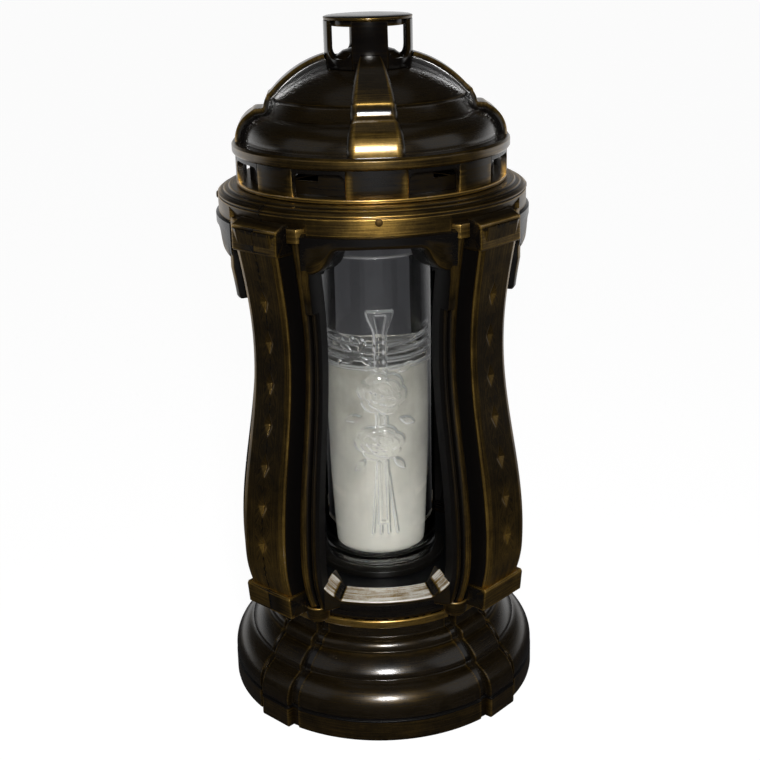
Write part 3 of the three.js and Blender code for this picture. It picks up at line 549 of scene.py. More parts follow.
def stile_plan():
    """Outer plan from beside the diamonds to the window's inner edge, with gold per point."""
    groove = MID - 15
    centre, outward, onward = polar(MID - 8.3, SHAFT_AT), polar(1, SHAFT_AT), polar(1, SHAFT_AT + 90)
    shaft = [centre + SHAFT_R * (np.cos(t) * outward + np.sin(t) * onward)
             for t in np.radians(np.linspace(90, -90, 15))]
    corners = [
        from_pilaster(STRIP, MID), from_pilaster(FACE_HALF, MID), from_pilaster(PILASTER_HALF, MID - 1.1),
        from_pilaster(PILASTER_HALF, groove), polar(groove, 32.9), *shaft, polar(groove, 27.9),
        polar(MID - 6.5, 27.4), polar(MID - 6.3, 26.2), polar(MID - 9.5, 25.2), polar(MID - 16, 25),
    ]
    plan, edge = rounded(corners, radius=0.55, steps=3, reach=0.9, closed=False, inside=-1)
    bearing, radius = np.degrees(np.arctan2(plan[:, 1], plan[:, 0])), np.hypot(*plan.T)
    beside, forward = plan @ np.array([1, -1]) / 2 ** 0.5, plan @ np.array([1, 1]) / 2 ** 0.5
    on_face = (forward > MID - 1.9) & (beside < PILASTER_HALF + 0.3)
    on_strip = smooth(beside, FACE_HALF - 0.3, FACE_HALF + 0.3) * on_face
    gold = FACE_GOLD * on_face + 0.12 * on_strip + 0.26 * np.clip(edge, -0.4, 1)
    on_shaft = (bearing > 28.2) & (bearing < 32.6)
    gold = np.where(on_shaft, 0.55 * smooth(radius, MID - 6.8, MID - 5.7), gold)
    gold = np.where(radius < MID - 8.5, HOLLOW, gold)
    return plan, np.clip(gold, HOLLOW, 1)


def inner_plan(count, seam):
    """The wall's back, from the pocket behind the pilaster to the window."""
    pocket, back, half = MID - 3.8, MID - 16, 10.9
    line = [polar(pocket, 45 - np.degrees(seam / pocket)), polar(pocket, 45 - np.degrees(np.arcsin(half / pocket))),
            polar(back, 45 - np.degrees(np.arcsin(half / back))), polar(back, 25)]
    return resampled(line, count)


def stile_rows():
    """Heights of the rows: even inside the run of diamonds, so that the tiles meet them."""
    last_tile = FIRST_TILE + TILE * TILES
    return np.concatenate([
        np.linspace(BODY_BOTTOM, FIRST_TILE, END_ROWS),
        FIRST_TILE + TILE / TILE_ROWS * np.arange(1, TILE_ROWS * TILES),
        np.linspace(last_tile, BODY_TOP, END_ROWS),
    ])


def face_points(side, depth, z):
    """Points on the pilaster's face, sunk by a depth, at any heights."""
    side, out = np.broadcast_arrays(np.asarray(side, float), MID - np.asarray(depth, float))
    return waved(from_pilaster(side, out), z)


def face_tone(z):
    """How much more gold than usual the pilaster's face holds: most of it near the foot."""
    waist = smooth(z, 125, 150) * smooth(-z, -235, -205)
    return 0.25 * smooth(-z, -130, -90) + 0.04 * smooth(z, 215, 245) - 0.1 * waist


def half_tile(height, seam):
    """Half of a square of the face round one sunk diamond. Rows run from the diamond's middle
    to its edge and on to the square's edge; columns run from the top round to the bottom."""
    top = [(s, TILE / 2) for s in np.linspace(0, STRIP, STRIP_COLS + 1)]
    side = [(STRIP, z) for z in np.linspace(TILE / 2, -TILE / 2, TILE_ROWS + 1)[1:]]
    bottom = [(s, -TILE / 2) for s in np.linspace(STRIP, 0, STRIP_COLS + 1)[1:]]
    border = np.array(top + side + bottom)
    fall = np.linspace(1, -1, len(border))
    gem = np.stack([GEM_HALF_WIDTH * (1 - np.abs(fall)), GEM_HALF_HEIGHT * fall], -1)
    rows = [(gem * t, GEM_DEPTH * (1 - t), 0.62 if t < 0.95 else 0.58) for t in (0, 0.3, 0.6, 0.88, 1.0)]
    rows += [(gem + (border - gem) * t, 0.0, 0.56 if t < 0.1 else FACE_GOLD) for t in (0.06, 0.35, 0.7, 1.0)]
    place, depth, gold = (np.array(column) for column in zip(*rows))
    points = face_points(np.maximum(place[..., 0], seam), depth[:, None], height + place[..., 1])
    line = np.concatenate([points[::-1, 0], points[1:, -1]])
    return grid(points, gold[:, None] + face_tone(points[..., 2]), across=True), line


def stile(seam):
    """The stile between 25 and 45 degrees, closed where the two shells part."""
    plan, gold = stile_plan()
    z = stile_rows()
    inner = waved(inner_plan(len(plan), seam), z[:, None])
    gold = gold[None] + face_tone(z)[:, None] * (gold[None] > 0.2)
    sheets = wall(waved(plan, z[:, None]), inner, np.clip(gold, HOLLOW, 1), rims="ns", across=True)
    back = inner[:, 0]
    strip = np.maximum(np.linspace(0, STRIP, STRIP_COLS + 1), seam)
    ends = [face_points(strip, 0.0, rows[:, None]) for rows in (z[:END_ROWS], z[-END_ROWS:])]
    sheets += [grid(end, FACE_GOLD + face_tone(end[..., 2]), across=True) for end in ends]
    tiles = [half_tile(FIRST_TILE + TILE * (k + 0.5), seam) for k in range(TILES)]
    sheets += [sheet for sheet, _ in tiles]
    if seam:
        front = np.concatenate([ends[0][:, 0]] + [line[::-1] for _, line in tiles] + [ends[1][:, 0]])
        behind = back[np.abs(front[:, 2][:, None] - z[None]).argmin(axis=1)]
        sheets.append(grid(np.stack([front, behind])))
    for row in (0, -1):
        start = face_points(strip, 0.0, z[row])
        sheets.append(grid(np.stack([start, np.repeat(back[row][None], STRIP_COLS + 1, 0)])))
    return sheets


print("stile points", stile_plan()[0].shape, "rows", len(stile_rows()))

# %% [markdown]
# ## Sill and hood of a window
# Under the glass the wall is cut to a wide sloping bevel, rubbed with gold and painted pale
# as a highlight, and its lower corners are cut at a slant. Over the glass a hood stands out,
# arched between two stepped shoulders, and its reveal slopes back and down to a narrower edge inside.

# %% Window
SILL_Z, SILL_RISE, SILL_HALF, SILL_BACK = 73.6, 3.1, 20.5, 60.2
HOOD_FACE_Z = [243.5, 247.0, 251.5, 256.0, 265.7, 266.9]
HOOD_FACE_R = [76.9, 79.0, 79.7, 79.8, 79.8, 77.4]
# The hood's lower edge in front and behind, as bearings from the window's middle and heights.
HOOD_FRONT = ([0, 8.9, 14.1, 15.8, 16.9, 18.1, 19.3, 20.7, 23.3, 25.2, 25.5, 27.4],
              [261.1, 260.8, 260.6, 259.7, 258.0, 254.6, 252.2, 250.3, 248.5, 248.2, 244.0, 243.6])
HOOD_BACK = ([0, 12.4, 13.7, 14.6, 15.5, 16.4, 17.3, 22.1, 25.2, 25.5, 27.4],
             [258.0, 257.8, 257.3, 256.5, 254.1, 251.6, 250.1, 247.6, 246.8, 244.0, 243.6])


def profile_tube(columns):
    """Closed outlines, each with its bearing and its gold per point, joined into a capped tube."""
    bearings, outlines, golds = zip(*columns)
    r, z = np.moveaxis(np.stack(outlines, 1), -1, 0)
    return capped(grid(around(r, np.radians(bearings), z), np.stack(golds, 1), rows_closed=True))


def sill():
    """The panel under the window: its front edge and bevel rise at the slanted corners."""
    columns = []
    for bearing in (*np.linspace(-25.6, -SILL_HALF, 13), *np.linspace(-20, 20, 53), *np.linspace(SILL_HALF, 25.6, 13)):
        off = abs(bearing)
        slant = np.clip((off - SILL_HALF) / (25 - SILL_HALF), 0, 1)
        front = wave(SILL_Z) - 13 + 5.5 * smooth(off, SILL_HALF - 1, 25.4)
        edge_z, inner_r = SILL_Z + 8.6 * slant, 60.5 + 5.0 * slant
        outline = [[SILL_BACK, BODY_BOTTOM], [front - 0.4, BODY_BOTTOM], [front, edge_z],
                   [inner_r, edge_z + SILL_RISE], [SILL_BACK, edge_z + SILL_RISE - 0.4]]
        points, edge = rounded(outline, radius=0.45, steps=3, reach=0.8, same=True)
        on_bevel = (points[:, 0] > inner_r - 0.3) & (points[:, 1] > edge_z - 0.6)
        ends = smooth(off, SILL_HALF - 1.3, SILL_HALF - 0.6) * (1 - smooth(off, SILL_HALF + 1.2, SILL_HALF + 2.0))
        # On the bevel the gild runs past 1, so the rubbed gold there turns pale: a painted highlight.
        bright = np.where(on_bevel, 1.36 - 1.3 * ends, 0.2)
        columns.append((bearing, points, np.clip(bright + 0.3 * np.maximum(edge, 0), 0, 1.6)))
    return profile_tube(columns)


def hood():
    """The hood over the window, between 27.4 degrees to both sides."""
    half = np.unique([*np.linspace(0, 14, 15), *np.linspace(14, 21, 22), *np.linspace(21, 27.4, 14), 25.2, 25.5])
    columns = []
    for bearing in (*-half[:0:-1], *half):
        off = abs(bearing)
        z_front, z_back = np.interp(off, *HOOD_FRONT), np.interp(off, *HOOD_BACK)
        heights = np.append(z_front + (HOOD_FACE_Z[-2] - z_front) * np.linspace(0, 1, 7), HOOD_FACE_Z[-1])
        face = np.stack([np.interp(heights, HOOD_FACE_Z, HOOD_FACE_R), heights], -1)
        low_r = face[0, 0]
        outline = np.concatenate([
            [[60.0, z_back], [68.0, z_back], [low_r - 0.8, z_front - 0.3], [low_r, z_front + 0.9]],
            face[2:], [[60.0, 267.0]]])
        gold = np.zeros(len(outline))
        gold[:5] = HOLLOW, HOLLOW, 0.1, 0.36, 0.05
        gold[2:7] += 0.3 * peak(off, 20.5, 4.5)
        columns.append((bearing, outline, np.clip(gold, HOLLOW, 1)))
    return profile_tube(columns)


def bar(outline, low, high, bevel=0.5, base=0.3, gain=0.4):
    """A straight block across the pilaster: its outline (out, height) is carried sideways, and
    shrinks towards its middle by the bevel at the far end. The near end is closed only where
    the two halves don't meet."""
    points, edge = rounded(outline, radius=bevel, steps=3, reach=0.9)
    middle = points.mean(axis=0)
    shrunk = points + (middle - points) * np.minimum(1, bevel / np.maximum(np.abs(points - middle), bevel * 2))
    stations = [(low, points, 0.0), (high - bevel - 0.9, points, 0.0), (high - bevel, points, 0.3),
                (high - bevel * 0.3, points + (shrunk - points) * 0.3, 0.6), (high, shrunk, -0.3),
                (high, middle + (shrunk - middle) * 0.86, -1.0)]
    rows = [np.concatenate([from_pilaster(np.full(len(shape), side), shape[:, 0]), shape[:, 1:]], -1)
            for side, shape, _ in stations]
    at_end = np.array([station[2] for station in stations])
    gold = np.clip(base + gain * np.maximum(edge, -0.3)[:, None] + gain * at_end[None], 0, 1)
    gold[points[:, 0] < 80] *= 0.3
    tube, near_end, far_end = capped(grid(np.stack(rows, 1), gold, rows_closed=True))
    return [tube, near_end, far_end] if low else [tube, far_end]


def leg(bearing):
    """A short proud strip beside the window: its face follows the wave, and its top sinks into
    the hood's face."""
    z = np.linspace(227.5, 253.0, 20)
    front = wave(z) - 1.0
    front[0] -= 0.7
    merge = smooth(z, 243.5, 250.0)
    front = front * (1 - merge) + (np.interp(z, HOOD_FACE_Z, HOOD_FACE_R) - 0.4) * merge
    across = np.array([-1, -1, -0.8, 0, 0.8, 1, 1])
    proud = np.array([0, 0.93, 1, 1.01, 1, 0.93, 0])
    half, depth = 2.0, 12.0
    points = set_out(front[:, None] - depth * (1 - proud), across * half, bearing, z[:, None])
    lit = 0.22 + 0.4 * smooth(z, 230, 240)
    gold = lit[:, None] * np.array([0, 0, 0.9, 1.1, 0.9, 0, 0]) - np.array([0.3, 0.1, 0, 0, 0, 0.1, 0.3])
    return [grid(points, gold, cols_closed=True, across=True), fan(points[0], 0.1), fan(points[-1], 0.1)]


def bracket(radius, bearing):
    """A small block with three faces over a colonnette: half a hexagon carried up from a
    narrower foot."""
    out = np.array([-7.0, 1.8, 2.1, 5.9, 6.1, 6.1, 5.9, 2.1, 1.8, -7.0])
    side = np.array([-5.3, -5.3, -5.15, -2.75, -2.4, 2.4, 2.75, 5.15, 5.3, 5.3])
    rows = [(262.2, 0.0, 0.15), (262.2, 0.93, 0.5), (262.6, 1.0, 0.5), (265.2, 1.0, 0.34),
            (268.2, 1.0, 0.42), (268.8, 0.99, 0.7), (269.2, 0.95, 0.5), (269.2, 0.0, 0.15)]
    z, scale, gold = np.array(rows).T[..., None]
    points = set_out(out * scale + radius, side * scale, bearing, z)
    on_face = np.array([0, 0.5, 1, 1, 1, 1, 1, 1, 0.5, 0])
    arris = np.array([0, *[0.3] * 8, 0])
    paint = gold * on_face * (scale > 0) + arris * (scale == 1)
    return [grid(points, np.clip(paint, 0, 1), cols_closed=True)]


def foot_cup(radius, bearing):
    """A small turned boss that stands under a colonnette."""
    outline = [[0, 61.0], [4.8, 61.0], [5.9, 62.6], [6.4, 66.5], [6.4, 69.5], [5.3, 69.5], [4.9, 67.6], [0, 67.4]]
    points, edge = rounded(outline, radius=0.6, steps=3, reach=0.6, closed=False)
    cup = dict(lathe(points, edge, 0.45, 0.6, steps=48), rows=False)
    return moved([cup], [*polar(radius, bearing), 0])


BAND = [[70.0, 66.7], [85.6, 66.7], [86.6, 77.6], [85.8, 78.8], [70.0, 78.8]]
CAPITAL = [[70.0, 255.5], [82.2, 255.5], [83.0, 256.4], [82.7, 268.0], [77.3, 270.6], [70.0, 270.6]]


def flange(bottom, top, front_r, seam_after, seam_before):
    """The flat ring that joins the body's wall to its round bore, from 45 to -45 degrees. It
    is closed only where the shell ends."""
    corner = from_pilaster(np.array([0.0]), np.array([MID]))
    half = waved(np.concatenate([corner, stile_plan()[0][:-1]]), bottom)[:, :2] * 0.995
    half = np.concatenate([half, [polar(front_r, b) for b in np.linspace(24, 0, 13)]])
    line = np.concatenate([half, half[-2::-1] * [1, -1]])
    bearing = np.arctan2(line[:, 1], line[:, 0])
    bore = np.stack([BORE * np.cos(bearing), BORE * np.sin(bearing)], -1)
    rows = [np.column_stack([ring, np.full(len(ring), z)]) for ring, z in
            ((line, bottom), (bore, bottom), (bore, top), (line, top))]
    tube, after, before = capped(grid(np.stack(rows), 0.05, rows_closed=True))
    return [tube] + [after] * seam_after + [before] * seam_before


def half_bay(seam):
    """Everything of the body between a window's middle and a pilaster's middle."""
    head, foot = wave(BODY_TOP) - 10.4, wave(BODY_BOTTOM) - 10.4
    return (stile(seam) + bar(BAND, seam, 15.9, base=0.73) + bar(CAPITAL, seam, 15.3, base=0.60)
            + leg(26.2) + foot_cup(foot, SHAFT_AT) + bracket(head, SHAFT_AT))


def bay(direction, seam_after, seam_before):
    """A window with both its stiles, turned to face a direction."""
    sheets = half_bay(SEAM if seam_after else 0.0) + flipped(half_bay(SEAM if seam_before else 0.0))
    for bottom, top, front_r in ((BODY_BOTTOM, 71.3, wave(SILL_Z) - 13), (263.4, BODY_TOP, 66)):
        sheets += flange(bottom, top, front_r, seam_after, seam_before)
    return spun(sheets + sill() + hood(), direction)


# %% [markdown]
# ## The collar
# The ring on top of the body is hollow below. Its face stands full over each window and
# steps back over the pilasters, where the capitals run up under it.

# %% Collar
COLLAR_TOP, FASCIA_HALF, FASCIA_BACK = 279.3, 25.7, 2.0
HALF_GAP = 0.11


def collar(start, stop):
    """Outer and inner outlines as two skins, with the lower face set back over the corners."""
    corners = [[BORE, COLLAR_TOP], [72.3, COLLAR_TOP], [72.9, 278.3], [75.0, 278.1], [75.5, 277.2], [76.9, 277.0],
               [78.3, 275.9], [78.3, 275.4], [77.6, 275.1], [77.6, 274.7], [78.3, 274.4], [78.3, 270.0],
               [78.3, BODY_TOP], [BORE, BODY_TOP]]
    outer, edge = rounded(corners, radius=0.4, steps=3, reach=0.6, closed=False, inside=-1)
    inner = resampled([[BORE, 276.8], [75.3, 275.7], [75.3, 267.6], [BORE, 267.6]], len(outer))
    near = [FASCIA_HALF - 1.2, FASCIA_HALF - 0.35, FASCIA_HALF, FASCIA_HALF + 0.05, FASCIA_HALF + 0.6]
    steps = [q + s * a for q in (-90, 0, 90, 180, 270) for s in (-1, 1) for a in near]
    bearings = spread(start, stop, 91, [b for b in steps if start < b < stop])
    off = from_axis(bearings)
    below = (outer[:, 1] < 270.2) & (outer[:, 0] > 70)
    (r, z), (ri, zi) = outer.T[..., None], inner.T[..., None]
    r = r - FASCIA_BACK * below[:, None] * smooth(off, FASCIA_HALF - 0.35, FASCIA_HALF + 0.05)
    gold = 0.36 + 0.28 * np.clip(edge, -0.6, 1)[:, None] + 0.46 * (z > 266) * peak(off, 0, 14)
    gold = gold + 0.3 * peak(off, FASCIA_HALF, 0.8) * below[:, None]
    turn = np.radians(bearings)
    return wall(around(r, turn, z), around(ri, turn, zi), np.clip(gold, 0, 1))


def ring(low_r, high_r, low, high, start, stop):
    """A stretch of a turned ring of rectangular section, with flat ends."""
    points, edge = rounded(box(low_r, high_r, low, high), radius=0.4, steps=2)
    return capped(lathe(points, edge, 0.1, 0.3, start=start, stop=stop))


def shell(first_direction):
    """Half of the body: two bays with the collar, the neck and the ledge that go with them."""
    start, stop = first_direction - 45 + HALF_GAP, first_direction + 135 - HALF_GAP
    return (bay(first_direction, False, True) + bay(first_direction + 90, True, False) + collar(start, stop)
            + ring(BORE, 61.3, 58.3, 69.8, start, stop) + ring(54.0, BORE + 0.4, 63.5, 66.0, start, stop))


build("body_front_right", shell(-90), "lamp_body", ["body_shell_front_right"], bronze)
build("body_rear_left", shell(90), "lamp_body", ["body_shell_rear_left"], bronze)

# %% [markdown]
# ## Pins and the glass's seat
# A small round-headed pin through each face of the collar holds the hoop inside it. The
# glass stands on a black plastic seat with a boss that fits its raised bottom.

# %% Pins and seat
def turned_sheet(outline, radius=0.4, base=0.0, gain=0.3, steps=96, closed=False):
    """One turned sheet from its sharp outline, which is closed or ends on the axis."""
    points, edge = rounded(outline, radius=radius, steps=3, closed=closed)
    return dict(lathe(points, edge, base, gain, steps=steps), rows=closed)


PIN_Z = 273.2
PIN_HEAD = [[0, 74.0], [1.2, 74.0], [1.2, 78.6], [1.9, 78.6], [1.75, 79.0], [1.2, 79.3], [0, 79.4]]
LAID = np.array([[0, 1, 0], [0, 0, 1], [1, 0, 0]])
for tilt, side in ((-90, "front"), (0, "right"), (90, "rear"), (180, "left")):
    pin = changed([turned_sheet(PIN_HEAD, radius=0.25, steps=24)], lambda points: points @ LAID)
    build(f"pin_{side}", moved(spun(pin, tilt), (0, 0, PIN_Z)), "lamp_body", [f"fascia_pin_{side}"], brass)

SEAT = [[2.7, 69.7], [2.7, 68.6], [35.2, 68.6], [35.2, 72.0], [22.4, 72.0], [22.4, 73.2], [4.7, 73.2],
        [4.7, 70.3], [2.7, 70.3], [2.7, 69.8]]
build("seat", [turned_sheet(SEAT, closed=True)], "lamp_body", ["glass_seat"], black)

# %% [markdown]
# ## The lid's gallery and baffle
# Eight posts carry the dome, with arched openings between them. The gallery is one closed
# outline for each bearing: over an opening it is only the lintel, and at a post it reaches
# the flange. Behind the posts stands a thin baffle, notched at the corners.

# %% Gallery
GALLERY_R, GALLERY_IN, GALLERY_Z, FLANGE_Z, GALLERY_TOP = 68.5, 65.5, 279.6, 281.6, 294.8
MAIN_HALF, CORNER_FROM, ARCH, SPIGOT_IN = 12.3, 35.0, 4.0, 55.9


def closed_ring(radii, heights, bearings, gold):
    """A closed outline for each bearing in degrees, joined all the way round."""
    return grid(around(radii, np.radians(bearings), heights), gold, rows_closed=True, cols_closed=True)


def gallery():
    """Lintel and posts as one ring, with softened edges beside the openings."""
    half, mid = (CORNER_FROM - MAIN_HALF) / 2, (MAIN_HALF + CORNER_FROM) / 2
    beside = (-3.4, -2.4, -1.5, -0.8, -0.3, -0.02, 0.02, 0.18, 0.5, 1.3)
    one = spread(0, 45, 16, [mid + s * (half + d) for s in (-1, 1) for d in beside])
    bearings = four_times(np.concatenate([one, 90 - one[-2:0:-1]]))
    local = from_axis(bearings)
    across = np.abs(local - mid) / half
    arched = ARCH / (GALLERY_R * np.radians(half))
    drop = ARCH * (1 - np.sqrt(np.clip(1 - ((across - (1 - arched)) / arched) ** 2, 0, 1)))
    lintel = GALLERY_TOP - 2 - np.where(across > 1 - arched, drop, 0)
    low = np.where(across < 1, lintel, FLANGE_Z - 0.3)
    near = np.minimum(np.abs(local - MAIN_HALF), np.abs(local - CORNER_FROM))
    on_post = low < FLANGE_Z
    outer = GALLERY_R - np.where(on_post, 0.45 * (1 - smooth(near, 0.0, 0.45)), 0)
    inner, top = np.full(len(low), GALLERY_IN), np.full(len(low), GALLERY_TOP)
    radii = np.stack([outer - 0.3, outer, outer, outer, outer, inner, inner])
    span = GALLERY_TOP - low
    z = np.stack([low, low + 0.4, low + 0.35 * span, low + 0.7 * span, top, top, low])
    main = local < MAIN_HALF + 0.1
    rim = peak(near, 0, 2.2) * on_post
    gold = np.where(main, 0.12, 0.24) + 0.75 * rim * np.where(main, 1.0, 0.55) + np.zeros((7, 1))
    gold[:2] += 0.35 * on_post
    gold[4:] *= 0.3
    return closed_ring(radii, z, bearings, np.clip(np.where(on_post, gold, 0.05), 0, 1.1))


lid_sheets = [gallery()]
for outline, base in ((box(SPIGOT_IN, GALLERY_R, GALLERY_Z, FLANGE_Z), 0.5),
                      (box(SPIGOT_IN, 58.1, 272.1, GALLERY_Z + 0.6), 0.05)):
    points, edge = rounded(outline, radius=0.5, steps=3, reach=0.8)
    lid_sheets.append(lathe(points, edge, base, 0.5, steps=240))
build("gallery", lid_sheets, "lid", ["lid_gallery"], bronze)

BAFFLE_Z, BAFFLE_TOP, NOTCH, NOTCH_FROM = 281.9, 294.8, 6.5, 26


def baffle():
    """A thin ring whose top drops between 26 and 64 degrees, behind each corner post."""
    bearings = four_times(spread(0, 90, 46, [25.6, 25.9, 26.0, 26.1, 63.9, 64.0, 64.1, 64.4])[:-1])
    top = np.where(from_axis(bearings) > NOTCH_FROM, BAFFLE_TOP - NOTCH, BAFFLE_TOP)
    low = np.full_like(top, BAFFLE_Z)
    radii = np.array([60.1, 61.5, 61.5, 61.2, 60.4, 60.1])[:, None]
    gold = np.array([0, 0.12, 0.16, 0.5, 0.5, 0])[:, None]
    return closed_ring(radii, np.stack([low, low, top - 0.3, top, top, top - 0.3]), bearings, gold)


build("baffle", [baffle()], "lid", ["wind_baffle"], bronze)

# %% [markdown]
# ## The dome and its four ribs
# The dome is turned: a rim band, a fat roll, a short neck between two fine lines, and a low
# cap up to the chimney. Each rib is a flat band with bevelled sides that climbs over it. The
# rib's section is carried along a path that runs outside the dome's own outline, and gets
# narrower as it rises.

# %% Dome
RIM_Z, RIM_R, RIM_TOP = 295.1, 70.0, 300.6
ROLL_R, ROLL_Z, ROLL_TUBE = 63.9 - 11.6, 301.5, 11.6
CAP_R, CAP_Z, CAP_SWEEP = 3.7, 321.2 - (70 ** 2 - (48 - 3.7) ** 2) ** 0.5, 70.0
THICK = 2.6
RIB_NECK_Z, RIB_LOW_LINE, RIB_HIGH_LINE = 319.4, 315.9, 323.0


def dome_outline():
    """The outside from the rim to the crown, and back down inside the wall."""
    return rounded(np.concatenate([
        [[60.0, RIM_Z], [RIM_R - 0.7, RIM_Z], [RIM_R, RIM_Z + 1.0], [RIM_R, RIM_TOP - 1.2], [RIM_R - 0.9, RIM_TOP]],
        arc(ROLL_R, ROLL_Z, ROLL_TUBE, -4, 84, 22),
        [[51.8, 313.0], [51.0, 313.8], [47.2, 320.0]],
        arc(CAP_R, CAP_Z, CAP_SWEEP, 50.7, 75, 16),
        [[18.8, 334.6], [18.8, 338.2], [13.0, 342.6], [8.0, 344.0], [8.0, 341.0], [17.0, 337.0], [17.0, 332.0]],
        arc(CAP_R, CAP_Z, CAP_SWEEP - THICK, 75, 50.7, 8),
        [[44.6, 318.0], [49.0, 311.6]],
        arc(ROLL_R, ROLL_Z, ROLL_TUBE - THICK, 84, -4, 10),
    ]), radius=0.35, steps=2, reach=0.7)


def dome_gold(points, edge):
    """Gold on the rim band and the fine lines, and a faint haze elsewhere."""
    r, z = points.T
    rim = smooth(r, 68.6, 69.4) * (z < RIM_TOP + 0.2)
    lines = peak(z, 321.3, 0.5) * (r > 46.5) + 0.4 * peak(z, 313.2, 0.6) * (r > 50)
    return np.clip(0.2 + 0.25 * rim + 0.2 * np.maximum(edge, 0) * (rim > 0.5) + 0.3 * lines, 0, 1)


def rib():
    """The path climbs over the roll, the neck and the cap; the section is a bevelled band."""
    path = resampled(np.concatenate([
        arc(ROLL_R, ROLL_Z, ROLL_TUBE + 3.7, -3.4, 72, 30),
        [[53.6, 316.4], [52.9, 317.3], [52.4, 319.6], [51.6, 321.2], [50.9, 322.3], [49.9, 323.6]],
        arc(7.7, 289.0, 54.4, 42.5, 74.5, 26),
    ]), 120)
    along = np.gradient(path, axis=0)
    along /= np.linalg.norm(along, axis=1)[:, None]
    out = np.stack([along[:, 1], -along[:, 0]], -1)
    for line in (RIB_LOW_LINE, RIB_HIGH_LINE):
        path = path + out * 0.45 * peak(path[:, 1:], line, 0.55)
    width = 11.7 + (26.8 - 11.7) * np.clip((path[:, 0] - 22) / (67.6 - 22), 0, 1)
    half = np.array([[0.86, -6.2], [1, -2.6], [0.99, -2.2], [0.82, -0.25], [0.79, 0], [0.7, 0.05], [0.4, 0.1]])
    across, proud = np.concatenate([half * [-1, 1], [[0, 0.1]], half[::-1]]).T
    skirt = proud < -6
    depth = proud - 1.2 * smooth(path[:, 1:], 326, 336) * skirt
    r = path[:, :1] + out[:, :1] * depth
    z = np.maximum(path[:, 1:] + out[:, 1:] * depth, RIM_TOP - 0.3)
    points = np.stack([r, across * width[:, None] / 2, z], -1)
    height = path[:, 1:]
    neck = 0.5 * peak(height, RIB_NECK_Z, 1.9)
    middle = 0.6 - 0.34 * smooth(height, 323.5, 332) - neck
    rims = 0.95 - 0.2 * smooth(height, 330, 342) - neck
    lines = 0.6 * (peak(height, RIB_LOW_LINE, 0.5) + peak(height, RIB_HIGH_LINE, 0.6))
    share = np.abs(across)
    at_edge = smooth(share, 0.69, 0.79) * (share < 0.9) * ~skirt
    gold = middle * (1 - at_edge) + rims * at_edge + lines
    gold[:, share > 0.9] = 0.1
    gold[:, skirt] = HOLLOW
    return [grid(points, np.clip(gold, HOLLOW, 1.1), cols_closed=True), fan(points[0], 0.1), fan(points[-1], 0.1)]


outline, edge = dome_outline()
pieces = [lathe(outline, 0, dome_gold(outline, edge), steps=256)]
lip = rounded(box(63.0, 65.2, 292.7, RIM_Z + 0.3), radius=0.4)[0]
pieces.append(lathe(lip, 0, 0.05, steps=200))
for direction in (0, 90, 180, 270):
    pieces += spun(rib(), direction)
for direction in DIAGONALS:
    boss = lathe(box(1.8, 3.6, 299.1, 309.9), steps=32)
    pieces += moved([boss], [*polar(56.0, direction), 0])
build("dome", pieces, "lid", ["dome_shell"], glossy)

# %% [markdown]
# ## The shield and the chimney
# A steel shield hangs under the dome. The chimney is a short tube, cut into four posts by
# slots with round bottoms, and a crowned cap closes it.

# %% Shield and chimney
SHIELD_R, TAB_R, TAB_HALF = 50.0, 59.4, 5.0


def shield():
    """A disc with four tabs: its edge's radius is a function of the bearing."""
    bearings = four_times(spread(0, 90, 46, [38.4, 39.0, 39.5, 39.8, 50.2, 50.5, 51.0, 51.6])[:-1])
    off = np.radians(np.abs(bearings % 90 - 45))
    reach = np.where(off < TAB_HALF / TAB_R, TAB_R / np.cos(off), SHIELD_R)
    below = [(0, 298.0), (0.45, 298.0), (0.995, 298.0), (1, 298.15)]
    rows = below + [(1, 298.65), (0.995, 298.8), (0.45, 298.8), (0, 298.8)]
    share, z = np.array(rows).T[..., None]
    r = np.where(share > 0.9, reach, SHIELD_R) * share
    return grid(around(r, np.radians(bearings), z), cols_closed=True)


build("shield", [shield()], "lid", ["heat_shield"], zinc)

CHIMNEY_R, CHIMNEY_IN, CHIMNEY_Z, CHIMNEY_TOP = 22.0, 19.4, 334.9, 357.4
SLOT_HALF, SLOT_Z, SLOT_ROUND = 21.4, 339.7, 5.6


def chimney():
    """A tube whose top edge drops to a slot's bottom at the diagonals."""
    beside = [-1.8, -0.9, -0.35, -0.02, 0.02, 0.1, 0.4, 0.9, 1.6, 2.6, 4, 6, 8.5, 11.5, 14.5, 18]
    one = np.array([0.0, 8.0, 15.0, *[45 - SLOT_HALF + k for k in beside]])
    bearings = four_times(np.concatenate([one, [45.0], 90 - one[::-1][:-1]]))
    off = np.abs(bearings % 90 - 45)
    across, half = CHIMNEY_R * np.sin(np.radians(off)), CHIMNEY_R * np.sin(np.radians(SLOT_HALF))
    into = np.clip((across - (half - SLOT_ROUND)) / SLOT_ROUND, 0, 1)
    slot = SLOT_Z + SLOT_ROUND * (1 - np.sqrt(1 - into ** 2))
    on_post = off >= SLOT_HALF - 0.01
    top = np.where(on_post, CHIMNEY_TOP, slot)
    from_edge = np.abs(off - SLOT_HALF)
    outer = CHIMNEY_R - np.where(on_post, 0.3 * (1 - smooth(from_edge, 0, 0.9)), 0.0)
    inner, bottom = np.full_like(outer, CHIMNEY_IN), np.full_like(top, CHIMNEY_Z)
    radii = np.stack([outer - 0.3, outer, outer, outer - 0.3, inner + 0.3, inner, inner])
    z = np.stack([bottom, bottom + 0.4, top - 0.3, top, top, top - 0.3, bottom])
    gold = np.array([0.06, 0.06, 0.06, 0.36, 0.06, 0.0, 0.0])[:, None] + np.zeros(len(top))
    gold[1:3] += 0.35 * peak(from_edge, 0, 1.2) * on_post
    return closed_ring(radii, z, bearings, gold)


build("chimney", [chimney()], "lid", ["chimney_ring"], polished)

